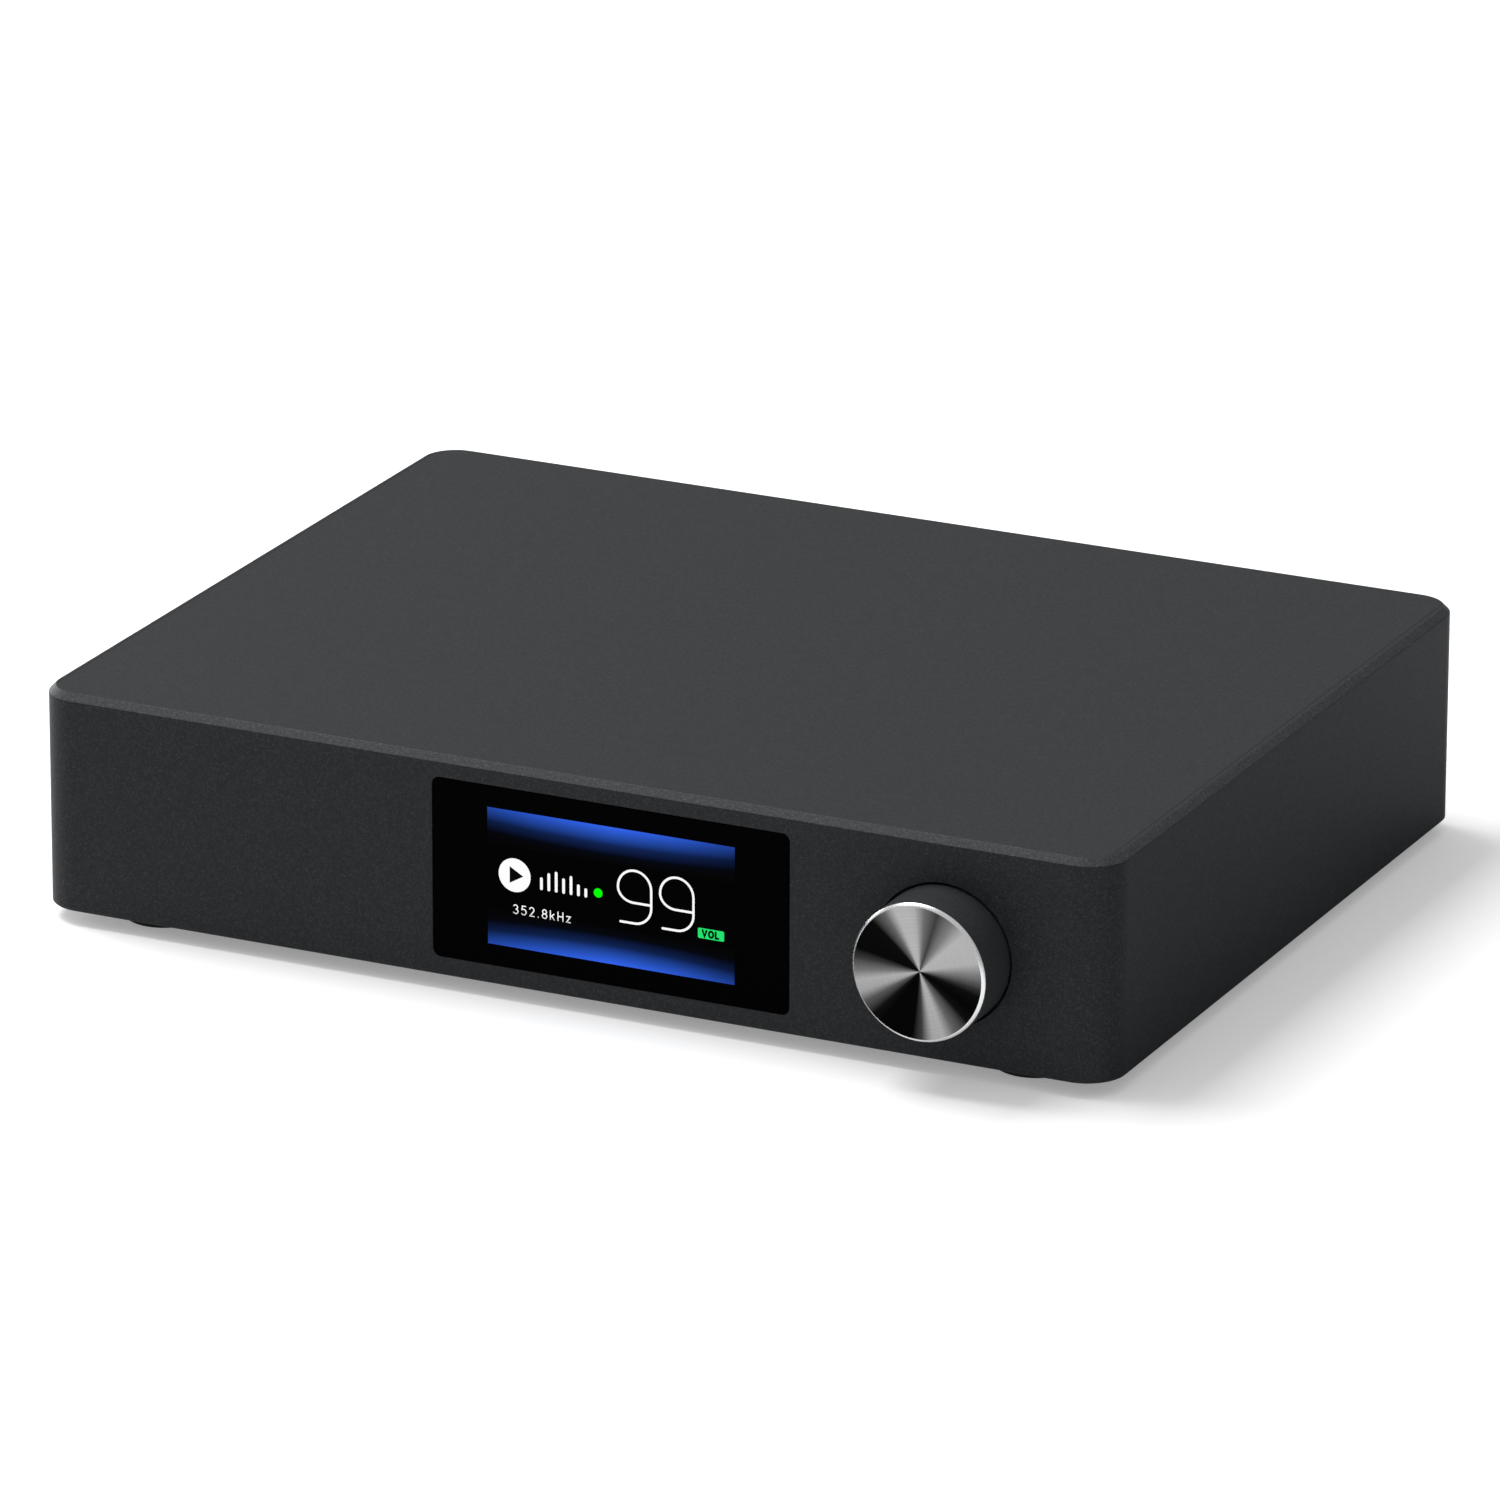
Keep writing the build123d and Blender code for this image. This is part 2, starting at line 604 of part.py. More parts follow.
def usb_outline(grow):
    """Five-sided plug outline with its two upper corners cut off, grown by the given margin."""
    half_x = 4.25 + grow
    half_z = 3.95 + grow
    cut = 1.5
    with BuildLine() as outline:
        Polyline(
            (usb_x - half_x, usb_middle - half_z),
            (usb_x + half_x, usb_middle - half_z),
            (usb_x + half_x, usb_middle + half_z - cut),
            (usb_x + half_x - cut, usb_middle + half_z),
            (usb_x - half_x + cut, usb_middle + half_z),
            (usb_x - half_x, usb_middle + half_z - cut),
            close=True,
        )
    make_face(outline.edges())


with BuildPart() as usb_shell:
    block((usb_x - 6.0, usb_x + 6.0), usb_y, usb_z)
    with BuildSketch(at_y(usb_y[1])):
        usb_outline(0.0)
    extrude(amount=usb_y[1] - usb_y[0] - 1.0, mode=Mode.SUBTRACT)
save(usb_shell, "usb_shell")

with BuildPart() as usb_tongue:
    block((usb_x - 4.1, usb_x + 4.1), (usb_y[0] + 1.1, 62.0), (usb_middle - 2.6, usb_middle + 2.3))
    block((usb_x - 2.75, usb_x + 2.75), (61.5, 70.2), (usb_middle - 1.6, usb_middle + 1.6))
save(usb_tongue, "usb_tongue")

# ---------------------------------------------------------------- power switch
switch_top = panel_y + plate + 1.7
pivot_y = 72.4
rocker_tilt = 7.0
with BuildPart() as switch_frame:
    block((switch_x - 6.2, switch_x + 6.2), (panel_y + plate, switch_top), (socket_z - 7.8, socket_z + 7.8))
    block((switch_x - 5.2, switch_x + 5.2), (58.0, panel_y + plate + 0.1), (socket_z - 6.7, socket_z + 6.7))
    well_z = (socket_z - 6.1, socket_z + 6.1)
    block((switch_x - 3.9, switch_x + 3.9), (63.0, switch_top), well_z, Mode.SUBTRACT)
    with BuildSketch(Plane.YZ.offset(switch_x - 4.8)):
        with Locations((pivot_y, socket_z)):
            Circle(0.96)
    extrude(amount=9.6, mode=Mode.SUBTRACT)
    for z in (socket_z - 4.0, socket_z + 4.0):
        block((switch_x - 2.4, switch_x + 2.4), (53.0, 58.1), (z - 0.4, z + 0.4))
save(switch_frame, "switch_frame")

rocker_plane = Plane(origin=(switch_x - 3.6, pivot_y, socket_z), x_dir=(0, 1, 0), z_dir=(1, 0, 0))
with BuildPart() as power_rocker:
    with BuildSketch(rocker_plane):
        with BuildLine():
            Polyline(
                (3.9, -5.5),
                (3.1, 0.0),
                (3.9, 5.5),
                (0.4, 5.4),
                (-3.4, 2.2),
                (-3.4, -2.2),
                (0.4, -5.4),
                close=True,
            )
        make_face()
    extrude(amount=7.2)
    with BuildSketch(Plane.YZ.offset(switch_x - 4.7)):
        with Locations((pivot_y, socket_z)):
            Circle(0.9)
    extrude(amount=9.4)
    pivot = Axis((switch_x, pivot_y, socket_z), (1, 0, 0))
    power_rocker.part = power_rocker.part.rotate(pivot, rocker_tilt)
save(power_rocker, "power_rocker")

# ---------------------------------------------------------------- mains inlet
inlet_top = panel_y + plate + 1.6
pin_gap = 4.3
with BuildPart() as mains_inlet:
    block((inlet_x - 9.8, inlet_x + 9.8), (panel_y + plate, inlet_top), (socket_z - 6.6, socket_z + 6.6))
    fillet(mains_inlet.edges().filter_by(Axis.Y), 1.2)
    block((inlet_x - 8.8, inlet_x + 8.8), (60.0, panel_y + plate + 0.1), (socket_z - 5.2, socket_z + 5.2))
    with BuildSketch(at_y(inlet_top)):
        with Locations((inlet_x - pin_gap, socket_z), (inlet_x + pin_gap, socket_z)):
            Circle(4.2)
        with Locations((inlet_x, socket_z)):
            Rectangle(2 * pin_gap, 7.0)
    extrude(amount=11.0, mode=Mode.SUBTRACT)
    with BuildSketch(at_y(inlet_top - 10.9)):
        with Locations((inlet_x - pin_gap, socket_z), (inlet_x + pin_gap, socket_z)):
            Circle(1.17)
    extrude(amount=10.0, mode=Mode.SUBTRACT)
save(mains_inlet, "mains_inlet")

with BuildPart() as inlet_pins:
    for x in (inlet_x - pin_gap, inlet_x + pin_gap):
        rod(x, socket_z, 1.15, (56.5, inlet_top - 2.6))
    fillet(inlet_pins.faces().filter_by(Axis.Y).sort_by(Axis.Y)[-2:].edges(), 0.7)
save(inlet_pins, "inlet_pins")

# ---------------------------------------------------------------- leads
with BuildPart() as antenna_lead:
    lead([(antenna_x, 66.4, antenna_z), (antenna_x, 60.0, 26.0), (-3.5, 55.5, 18.0), (-4.0, 51.5, 11.6)], 0.6)
save(antenna_lead, "antenna_lead")

with BuildPart() as flat_cable:
    with BuildSketch(Plane.YZ.offset(2.0)):
        with BuildLine():
            Polyline((-57.8, 14.4), (-54.0, 14.4), (-52.0, 17.0), (-48.4, 17.0), (-47.6, 13.3))
            offset(amount=0.35, side=Side.BOTH)
        make_face()
    extrude(amount=14.0)
save(flat_cable, "flat_cable")

with BuildPart() as supply_lead:
    for dx in (0.0, 2.2, 4.4):
        y = 24.0 + dx
        foot_z = board_top + 0.5
        lead([(-40.0, y, foot_z), (-38.0, y, 18.0), (-31.0, y, 18.0), (-29.0, y, foot_z)], 0.8)
save(supply_lead, "supply_lead")

with BuildPart() as mains_leads:
    for dx in (-pin_gap, pin_gap):
        x = inlet_x + dx
        bend = [(x, 52.0, socket_z - 1.0), (x, 46.5, 17.0)]
        lead([(x, 56.3, socket_z), *bend, (x, 44.5, board_top + 0.7)], 1.1)
    for dz in (-4.0, 4.0):
        z = socket_z + dz
        x = switch_x - dz
        bend = [(switch_x, 49.0, z - 1.0), (x, 43.0, 15.0)]
        lead([(switch_x, 52.5, z), *bend, (x, 41.5, board_top + 0.7)], 1.1)
save(mains_leads, "mains_leads")
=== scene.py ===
import json
import math

import bmesh
import bpy
from mathutils import Matrix, Vector


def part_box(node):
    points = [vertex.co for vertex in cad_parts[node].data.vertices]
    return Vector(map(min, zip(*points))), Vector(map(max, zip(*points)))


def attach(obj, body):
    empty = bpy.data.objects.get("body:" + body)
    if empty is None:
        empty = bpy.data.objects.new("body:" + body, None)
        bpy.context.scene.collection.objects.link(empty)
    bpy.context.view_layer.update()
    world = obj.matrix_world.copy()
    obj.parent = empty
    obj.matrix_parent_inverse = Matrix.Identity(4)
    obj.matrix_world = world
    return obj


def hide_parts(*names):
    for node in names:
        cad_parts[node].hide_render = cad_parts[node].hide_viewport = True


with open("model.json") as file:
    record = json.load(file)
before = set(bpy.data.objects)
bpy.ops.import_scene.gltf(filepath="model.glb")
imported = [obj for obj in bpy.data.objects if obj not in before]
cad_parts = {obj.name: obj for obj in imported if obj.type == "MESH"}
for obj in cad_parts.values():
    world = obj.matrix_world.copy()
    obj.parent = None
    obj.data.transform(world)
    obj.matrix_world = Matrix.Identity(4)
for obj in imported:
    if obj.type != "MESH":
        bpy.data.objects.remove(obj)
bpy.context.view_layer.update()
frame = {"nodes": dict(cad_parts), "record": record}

mm = 0.001


# mesh helpers: every piece is made where it belongs in the frame, so none is moved afterwards

def makeObject(name, vertices, faces, faceSlots=None, materials=()):
    mesh = bpy.data.meshes.new(name)
    mesh.from_pydata([tuple(v) for v in vertices], [], faces)
    piece = bpy.data.objects.new(name, mesh)
    bpy.context.scene.collection.objects.link(piece)
    for material in materials:
        mesh.materials.append(material)
    if faceSlots:
        for face, index in zip(mesh.polygons, faceSlots):
            face.material_index = index
    fixNormals(mesh)
    return piece


def fixNormals(mesh):
    shape = bmesh.new()
    shape.from_mesh(mesh)
    bmesh.ops.remove_doubles(shape, verts=shape.verts, dist=1e-7)
    bmesh.ops.recalc_face_normals(shape, faces=shape.faces)
    shape.to_mesh(mesh)
    shape.free()


def freezeModifiers(piece):
    graph = bpy.context.evaluated_depsgraph_get()
    done = bpy.data.meshes.new_from_object(piece.evaluated_get(graph))
    piece.modifiers.clear()
    piece.data = done


def softShade(piece, sharpAngle=32):
    # smooth faces, hard edges where the fold is steep, and broad faces kept flat
    shape = bmesh.new()
    shape.from_mesh(piece.data)
    limit = math.radians(sharpAngle)
    for edge in shape.edges:
        edge.smooth = len(edge.link_faces) == 2 and edge.calc_face_angle(0) < limit
    for face in shape.faces:
        face.smooth = True
    shape.to_mesh(piece.data)
    shape.free()
    weights = piece.modifiers.new("evenShade", "WEIGHTED_NORMAL")
    weights.keep_sharp = True
    weights.weight = 100
    freezeModifiers(piece)


def ringStack(name, rings, materials, slots=None):
    # joins equal closed rings one after another, with a cap at each end
    count = len(rings[0])
    vertices = [v for ring in rings for v in ring]
    faces = []
    faceSlots = []
    for level in range(len(rings) - 1):
        for i in range(count):
            j = (i + 1) % count
            a = level * count
            b = a + count
            faces.append((a + i, a + j, b + j, b + i))
            faceSlots.append(slots[level] if slots else 0)
    faces.append(tuple(reversed(range(count))))
    faceSlots.append(slots[0] if slots else 0)
    faces.append(tuple(range((len(rings) - 1) * count, len(rings) * count)))
    faceSlots.append(slots[-1] if slots else 0)
    return makeObject(name, vertices, faces, faceSlots, materials)


def roundedRect(halfX, halfY, radius, steps=14):
    # anticlockwise, corner by corner, from the right
    points = []
    for quarter in range(4):
        signX = (1, -1, -1, 1)[quarter]
        signY = (1, 1, -1, -1)[quarter]
        for k in range(steps + 1):
            angle = math.radians(90 * quarter + 90 * k / steps)
            points.append((signX * (halfX - radius) + radius * math.cos(angle),
                           signY * (halfY - radius) + radius * math.sin(angle)))
    return points


def lathe(name, profile, centre, direction, materials, slots=None, steps=160):
    # turns (radius, distance along the direction) round the axis through the centre
    axis = Vector(direction)
    side = Vector((1, 0, 0)) if abs(axis.x) < 0.5 else Vector((0, 0, 1))
    other = axis.cross(side)
    spread = [side * math.cos(2 * math.pi * i / steps) + other * math.sin(2 * math.pi * i / steps)
              for i in range(steps)]
    rings = [[Vector(centre) + axis * along + out * radius for out in spread] for radius, along in profile]
    vertices = []
    index = []
    for ring, (radius, along) in zip(rings, profile):
        if radius < 1e-9:
            index.append([len(vertices)] * steps)
            vertices.append(Vector(centre) + axis * along)
        else:
            index.append(list(range(len(vertices), len(vertices) + steps)))
            vertices.extend(ring)
    faces = []
    faceSlots = []
    for level in range(len(rings) - 1):
        low, high = index[level], index[level + 1]
        for i in range(steps):
            j = (i + 1) % steps
            corners = []
            for corner in (low[i], low[j], high[j], high[i]):
                if corner not in corners:
                    corners.append(corner)
            if len(corners) > 2:
                faces.append(tuple(corners))
                faceSlots.append(slots[level] if slots else 0)
    return makeObject(name, vertices, faces, faceSlots, materials)


def prismXY(name, outline, low, high):
    return ringStack(name, [[Vector((x, y, z)) for x, y in outline] for z in (low, high)], ())


def prismXZ(name, outline, near, far, materials=()):
    return ringStack(name, [[Vector((x, y, z)) for x, z in outline] for y in (near, far)], materials)


def boxPiece(name, low, high):
    outline = [(low[0], low[1]), (high[0], low[1]), (high[0], high[1]), (low[0], high[1])]
    return prismXY(name, outline, low[2], high[2])


def cutAway(piece, cutters):
    for cutter in cutters:
        cut = piece.modifiers.new("cut", "BOOLEAN")
        cut.operation = "DIFFERENCE"
        cut.solver = "EXACT"
        cut.object = cutter
        freezeModifiers(piece)
        bpy.data.objects.remove(cutter)


# finishes

def newFinish(name):
    material = bpy.data.materials.new(name)
    material.use_nodes = True
    tree = material.node_tree
    return material, tree.nodes, tree.links, tree.nodes["Principled BSDF"]


def mixColour(nodes, links, factor, first, second):
    mix = nodes.new("ShaderNodeMix")
    mix.data_type = "RGBA"
    links.new(factor, mix.inputs[0])
    for socket, value in ((mix.inputs[6], first), (mix.inputs[7], second)):
        if isinstance(value, bpy.types.NodeSocket):
            links.new(value, socket)
        else:
            socket.default_value = (*value, 1)
    return mix.outputs[2]


def ramp(nodes, links, factor, stops):
    # stops are (place, grey or colour)
    node = nodes.new("ShaderNodeValToRGB")
    band = node.color_ramp
    band.elements.remove(band.elements[1])
    band.elements[0].position = stops[0][0]
    for i, (place, value) in enumerate(stops):
        element = band.elements[0] if i == 0 else band.elements.new(place)
        element.color = (value, value, value, 1) if isinstance(value, (int, float)) else (*value, 1)
    links.new(factor, node.inputs[0])
    return node.outputs[0]


def mathOf(nodes, links, operation, *values):
    # one maths node; each value is a number or the output that feeds it
    node = nodes.new("ShaderNodeMath")
    node.operation = operation
    for socket, value in zip(node.inputs, values):
        if isinstance(value, bpy.types.NodeSocket):
            links.new(value, socket)
        else:
            socket.default_value = value
    return node.outputs[0]


def splitOf(nodes, links, place):
    split = nodes.new("ShaderNodeSeparateXYZ")
    links.new(place, split.inputs[0])
    return split.outputs


def noiseOf(nodes, links, place, scale, detail=2.0):
    noise = nodes.new("ShaderNodeTexNoise")
    noise.inputs["Scale"].default_value = scale
    noise.inputs["Detail"].default_value = detail
    links.new(place, noise.inputs["Vector"])
    return noise.outputs["Fac"]


def objectPlace(nodes):
    return nodes.new("ShaderNodeTexCoord").outputs["Object"]


def surfaceFinish(name, colour, metallic=0.0, roughness=0.5, ior=1.45, grain=2500, bump=0.0, vary=0.12,
                  wear=0.0, wearColour=(0.5, 0.5, 0.5), cloud=None, cloudScale=None):
    # fine grain in the colour, the roughness and the bump, broad clouding, and paler rubbed edges;
    # without a scale of its own a cloud is about sixty grains across
    material, nodes, links, shader = newFinish(name)
    place = objectPlace(nodes)
    fine = noiseOf(nodes, links, place, grain, 3.0)
    broad = noiseOf(nodes, links, place, cloudScale or grain / 60, 2.0)
    dark = tuple(c * (1 - vary) for c in colour)
    light = tuple(min(1, c * (1 + vary)) for c in colour)
    grained = mixColour(nodes, links, ramp(nodes, links, fine, [(0.3, 0.0), (0.7, 1.0)]), dark, light)
    shaded = tuple(c * (1 - cloud) for c in colour) if cloud else dark
    drift = ramp(nodes, links, broad, [(0.35, 0.0), (0.65, 1.0 if cloud else 0.35)])
    clouded = mixColour(nodes, links, drift, grained, shaded)
    surface = clouded
    if wear > 0:
        edge = nodes.new("ShaderNodeNewGeometry").outputs["Pointiness"]
        rubbed = ramp(nodes, links, edge, [(0.52, 0.0), (0.62, wear)])
        surface = mixColour(nodes, links, rubbed, clouded, wearColour)
    links.new(surface, shader.inputs["Base Color"])
    roughVary = 0.05
    spread = nodes.new("ShaderNodeMapRange")
    spread.inputs["To Min"].default_value = max(0.02, roughness - roughVary)
    spread.inputs["To Max"].default_value = min(1, roughness + roughVary)
    links.new(fine, spread.inputs["Value"])
    links.new(spread.outputs[0], shader.inputs["Roughness"])
    shader.inputs["Metallic"].default_value = metallic
    shader.inputs["IOR"].default_value = ior
    if bump > 0:
        dents = nodes.new("ShaderNodeBump")
        dents.inputs["Strength"].default_value = 1.0
        dents.inputs["Distance"].default_value = bump
        links.new(fine, dents.inputs["Height"])
        links.new(dents.outputs["Normal"], shader.inputs["Normal"])
    return material


def lightUp(links, shader, light, base):
    # a nearly black surface that gives out the light fed to it
    shader.inputs["Base Color"].default_value = (base, base, base, 1)
    shader.inputs["Roughness"].default_value = 0.3
    shader.inputs["IOR"].default_value = 1.05
    shader.inputs["Emission Strength"].default_value = 1.0
    links.new(light, shader.inputs["Emission Color"])


def litFinish(name, colour):
    # what the display shows: it glows a little unevenly, as its grid of cells does
    material, nodes, links, shader = newFinish(name)
    cells = noiseOf(nodes, links, objectPlace(nodes), 9000, 1.0)
    tint = mixColour(nodes, links, cells, tuple(c * 0.96 for c in colour), colour)
    lightUp(links, shader, tint, 0.002)
    return material


caseFinish = {
    "colour": (0.0268, 0.0290, 0.0318),
    # the chamfer is paler than the top: partly its own cut finish, partly a painted highlight along the top
    # edge
    "chamferColourAndHighlight": (0.067, 0.071, 0.076),
    "blasted": dict(roughness=0.50, ior=1.18, grain=4300, bump=0.020 * mm, vary=0.60, cloud=0.30,
                    cloudScale=1900, wear=0.10, wearColour=(0.05, 0.05, 0.052)),
    # painted shade: the knob's pocket and the bushing hole are coloured near black for the shade in the
    # recess
    "pocket": dict(colour=(0.009, 0.009, 0.010), roughness=0.6, ior=1.2, grain=3000, bump=0.01 * mm),
    "topGrain": 1900,
    "topSpeckle": [(0.42, 0.0), (0.62, 0.60)],
    "topSpeck": (0.042, 0.046, 0.051),
    "topSkin": 0.05 * mm,  # what lies this close to the top counts as the top
    # painted shade: a hair-thin dark line along each side of the top, in place of a faint fold
    "foldShadeInset": 1.9 * mm,
    "foldShadeWidth": 0.11 * mm,
    "foldShadeStrength": 0.75,
    "paintedFoldShade": (0.003, 0.003, 0.003),
}


def blastedMetal(name, colour):
    return surfaceFinish(name, colour, **caseFinish["blasted"])


def caseMetal():
    # bead-blasted dark anodising, coarser on the top, with a hair-thin line of painted shade along each side
    # of the top, standing in for a faint fold
    finish = caseFinish
    material = blastedMetal("beadBlastedCase", finish["colour"])
    nodes, links = material.node_tree.nodes, material.node_tree.links
    shader = nodes["Principled BSDF"]
    painted = shader.inputs["Base Color"].links[0].from_socket
    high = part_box("case_shell")[1]
    split = splitOf(nodes, links, objectPlace(nodes))
    away = mathOf(nodes, links, "ABSOLUTE", split["X"])
    # a painted shade line a hair wide, near each side of the top
    foldShadeBand = mathOf(nodes, links, "COMPARE", away, high.x - finish["foldShadeInset"], finish["foldShadeWidth"])
    onTop = mathOf(nodes, links, "GREATER_THAN", split["Z"], high.z - finish["topSkin"])
    topFoldShade = mathOf(nodes, links, "MULTIPLY", foldShadeBand, onTop)
    faint = mathOf(nodes, links, "MULTIPLY", topFoldShade, finish["foldShadeStrength"])
    grit = noiseOf(nodes, links, objectPlace(nodes), finish["topGrain"])
    speckle = mathOf(nodes, links, "MULTIPLY", ramp(nodes, links, grit, finish["topSpeckle"]), onTop)
    speckled = mixColour(nodes, links, speckle, painted, finish["topSpeck"])
    links.new(mixColour(nodes, links, faint, speckled, finish["paintedFoldShade"]), shader.inputs["Base Color"])
    return material


knobFinish = {
    # painted reflection: brightness of the light and dark spokes round the spun face, by angle from the
    # right, anticlockwise
    "paintedReflectionSpokes": [(0, 0.10), (8, 0.22), (18, 0.43), (44, 0.43), (56, 0.20), (72, 0.045), (84, 0.14), (94, 0.40),
               (101, 0.43), (112, 0.43), (122, 0.13), (136, 0.004), (166, 0.003), (174, 0.04), (186, 0.18),
               (195, 0.43), (205, 0.38), (214, 0.10), (226, 0.006), (236, 0.002), (266, 0.002), (275, 0.05),
               (285, 0.40), (295, 0.43), (306, 0.14), (322, 0.006), (334, 0.002), (348, 0.005), (354, 0.03)],
    "side": dict(colour=(0.036, 0.039, 0.043), roughness=0.42, ior=1.24, grain=2600, bump=0.02 * mm, vary=0.3,
                 wear=0.1, wearColour=(0.1, 0.1, 0.1)),
    "grooves": 3600,
    "grooveDark": 0.10,
    "faceRoughness": 0.42,
    "faceStretch": 0.6,
    "rim": dict(colour=(0.80, 0.80, 0.80), metallic=1.0, roughness=0.26, grain=2600, vary=0.05),
}


def spunFaceWithPaintedReflection(centre):
    # fine turning grooves round the centre, and light and dark spokes of painted reflection in the base
    # colour
    material, nodes, links, shader = newFinish("spunKnobFaceWithPaintedReflection")
    local = nodes.new("ShaderNodeVectorMath")
    local.operation = "SUBTRACT"
    local.inputs[1].default_value = centre
    links.new(objectPlace(nodes), local.inputs[0])
    split = splitOf(nodes, links, local.outputs[0])
    turn = mathOf(nodes, links, "ARCTAN2", split["Z"], split["X"])
    whole = mathOf(nodes, links, "FRACT", mathOf(nodes, links, "DIVIDE", turn, 2 * math.pi))
    around = [(angle / 360, value) for angle, value in knobFinish["paintedReflectionSpokes"]]
    # the spokes are painted reflection: the lamps' streaks in the spun metal, laid into the base colour
    paintedReflectionSpokes = ramp(nodes, links, whole, around + [(1.0, around[0][1])])
    reach = nodes.new("ShaderNodeVectorMath")
    reach.operation = "LENGTH"
    links.new(local.outputs[0], reach.inputs[0])
    groove = nodes.new("ShaderNodeTexNoise")
    groove.noise_dimensions = "1D"
    groove.inputs["Scale"].default_value = knobFinish["grooves"]
    links.new(reach.outputs["Value"], groove.inputs["W"])
    lines = ramp(nodes, links, groove.outputs["Fac"], [(0.3, 0.0), (0.7, knobFinish["grooveDark"])])
    links.new(mixColour(nodes, links, lines, paintedReflectionSpokes, (0.0, 0.0, 0.0)), shader.inputs["Base Color"])
    shader.inputs["Metallic"].default_value = 1.0
    shader.inputs["Roughness"].default_value = knobFinish["faceRoughness"]
    shader.inputs["Anisotropic"].default_value = knobFinish["faceStretch"]
    shader.inputs["Specular Tint"].default_value = (0.0, 0.0, 0.0, 1)
    tangent = nodes.new("ShaderNodeTangent")
    tangent.direction_type = "RADIAL"
    tangent.axis = "Y"
    links.new(tangent.outputs["Tangent"], shader.inputs["Tangent"])
    return material


finishes = {
    "panel_black": dict(colour=(0.016, 0.016, 0.017), roughness=0.5, ior=1.4, grain=3000, bump=0.010 * mm,
                        wear=0.1, wearColour=(0.1, 0.1, 0.1)),
    "rubber_black": dict(colour=(0.012, 0.012, 0.012), roughness=0.8, ior=1.4, grain=1800, bump=0.02 * mm),
    "screw_black": dict(colour=(0.03, 0.03, 0.032), metallic=0.7, roughness=0.4, grain=2500, wear=0.3),
    "screw_steel": dict(colour=(0.52, 0.52, 0.54), metallic=1.0, roughness=0.32, grain=2500),
    "window_black": dict(colour=(0.0004, 0.0004, 0.0004), roughness=0.10, ior=1.05, grain=500, vary=0.3),
    "foam_black": dict(colour=(0.01, 0.01, 0.01), roughness=0.9, grain=2500, bump=0.02 * mm),
    "lcd_glass": dict(colour=(0.01, 0.01, 0.012), roughness=0.15, grain=800),
    "frame_steel": dict(colour=(0.5, 0.5, 0.52), metallic=1.0, roughness=0.38, grain=2000),
    "white_plastic": dict(colour=(0.75, 0.75, 0.72), roughness=0.42, grain=1500, vary=0.04),
    "red_plastic": dict(colour=(0.45, 0.012, 0.012), roughness=0.38, grain=1500, vary=0.08),
    "orange_plastic": dict(colour=(0.62, 0.16, 0.01), roughness=0.38, grain=1500, vary=0.08),
    "board_green": dict(colour=(0.010, 0.075, 0.030), roughness=0.4, grain=900, vary=0.15),
    "receiver_dark": dict(colour=(0.02, 0.008, 0.012), roughness=0.15, grain=900),
    "plated_metal": dict(colour=(0.62, 0.61, 0.58), metallic=1.0, roughness=0.26, grain=2500, vary=0.08,
                         wear=0.1, wearColour=(0.8, 0.8, 0.8)),
    "rotor_plastic": dict(colour=(0.6, 0.58, 0.5), roughness=0.5, grain=1500, vary=0.05),
    "chip_black": dict(colour=(0.02, 0.02, 0.02), roughness=0.55, grain=2500, bump=0.01 * mm),
    "capacitor_sleeve": dict(colour=(0.02, 0.02, 0.035), roughness=0.35, grain=1500),
    "transformer_tape": dict(colour=(0.6, 0.42, 0.06), roughness=0.4, grain=900, vary=0.12),
    "sink_black": dict(colour=(0.02, 0.02, 0.02), metallic=0.3, roughness=0.5, grain=2500),
    "fuse_glass": dict(colour=(0.5, 0.5, 0.48), roughness=0.2, grain=900),
    "gold_plated": dict(colour=(0.83, 0.56, 0.20), metallic=1.0, roughness=0.24, grain=2500, vary=0.07),
    "black_plastic": dict(colour=(0.014, 0.014, 0.014), roughness=0.42, grain=2600, bump=0.012 * mm,
                          wear=0.08, wearColour=(0.08, 0.08, 0.08)),
    "shutter_grey": dict(colour=(0.05, 0.05, 0.052), roughness=0.45, grain=2200, bump=0.01 * mm),
    "lead_black": dict(colour=(0.015, 0.015, 0.015), roughness=0.5, grain=1500),
    "lead_red": dict(colour=(0.35, 0.015, 0.015), roughness=0.5, grain=1500),
    "flat_cable_white": dict(colour=(0.7, 0.7, 0.7), roughness=0.5, grain=1500, vary=0.05),
}


def dressCadNodes():
    # CAD nodes get the finish of their material slot; the case and the knob are made again below
    made = {}
    for entry in frame["record"]["subparts"]:
        slotName = entry["material_slot"]
        if slotName not in finishes:
            continue
        if slotName not in made:
            made[slotName] = surfaceFinish(slotName, **finishes[slotName])
        node = frame["nodes"][entry["node"]]
        node.data.materials.clear()
        node.data.materials.append(made[slotName])
    return made


# the case, one milled piece: rounded upright corners, a chamfer round the top, open below and behind
caseShape = {
    "cornerRadius": 7.0 * mm,
    "chamfer": 1.2 * mm,
    "edgeSoftness": 0.16 * mm,
    "bottomBreak": 0.25 * mm,
    "frontWall": 4.5 * mm,
    "sideWall": 3.0 * mm,
    "rearOpening": 90.5 * mm,
    "knobPocket": 12.3 * mm,
    "pocketDepth": 2.0 * mm,
    "windowGap": 0.1 * mm,
    "windowCorner": 1.4 * mm,
    "gasketSeat": 0.29 * mm,  # how far the rebate goes on behind the glass
    "displayGap": 0.25 * mm,
    "bushingHole": 4.6 * mm,
    "frontPosts": (87 * mm, -62 * mm),  # inner side and back of the two solid front corners
    "rearPosts": (82 * mm, 61 * mm),  # inner side and front of the two solid rear corners
    "rearLip": 3 * mm,
    "overcut": 1 * mm,
}


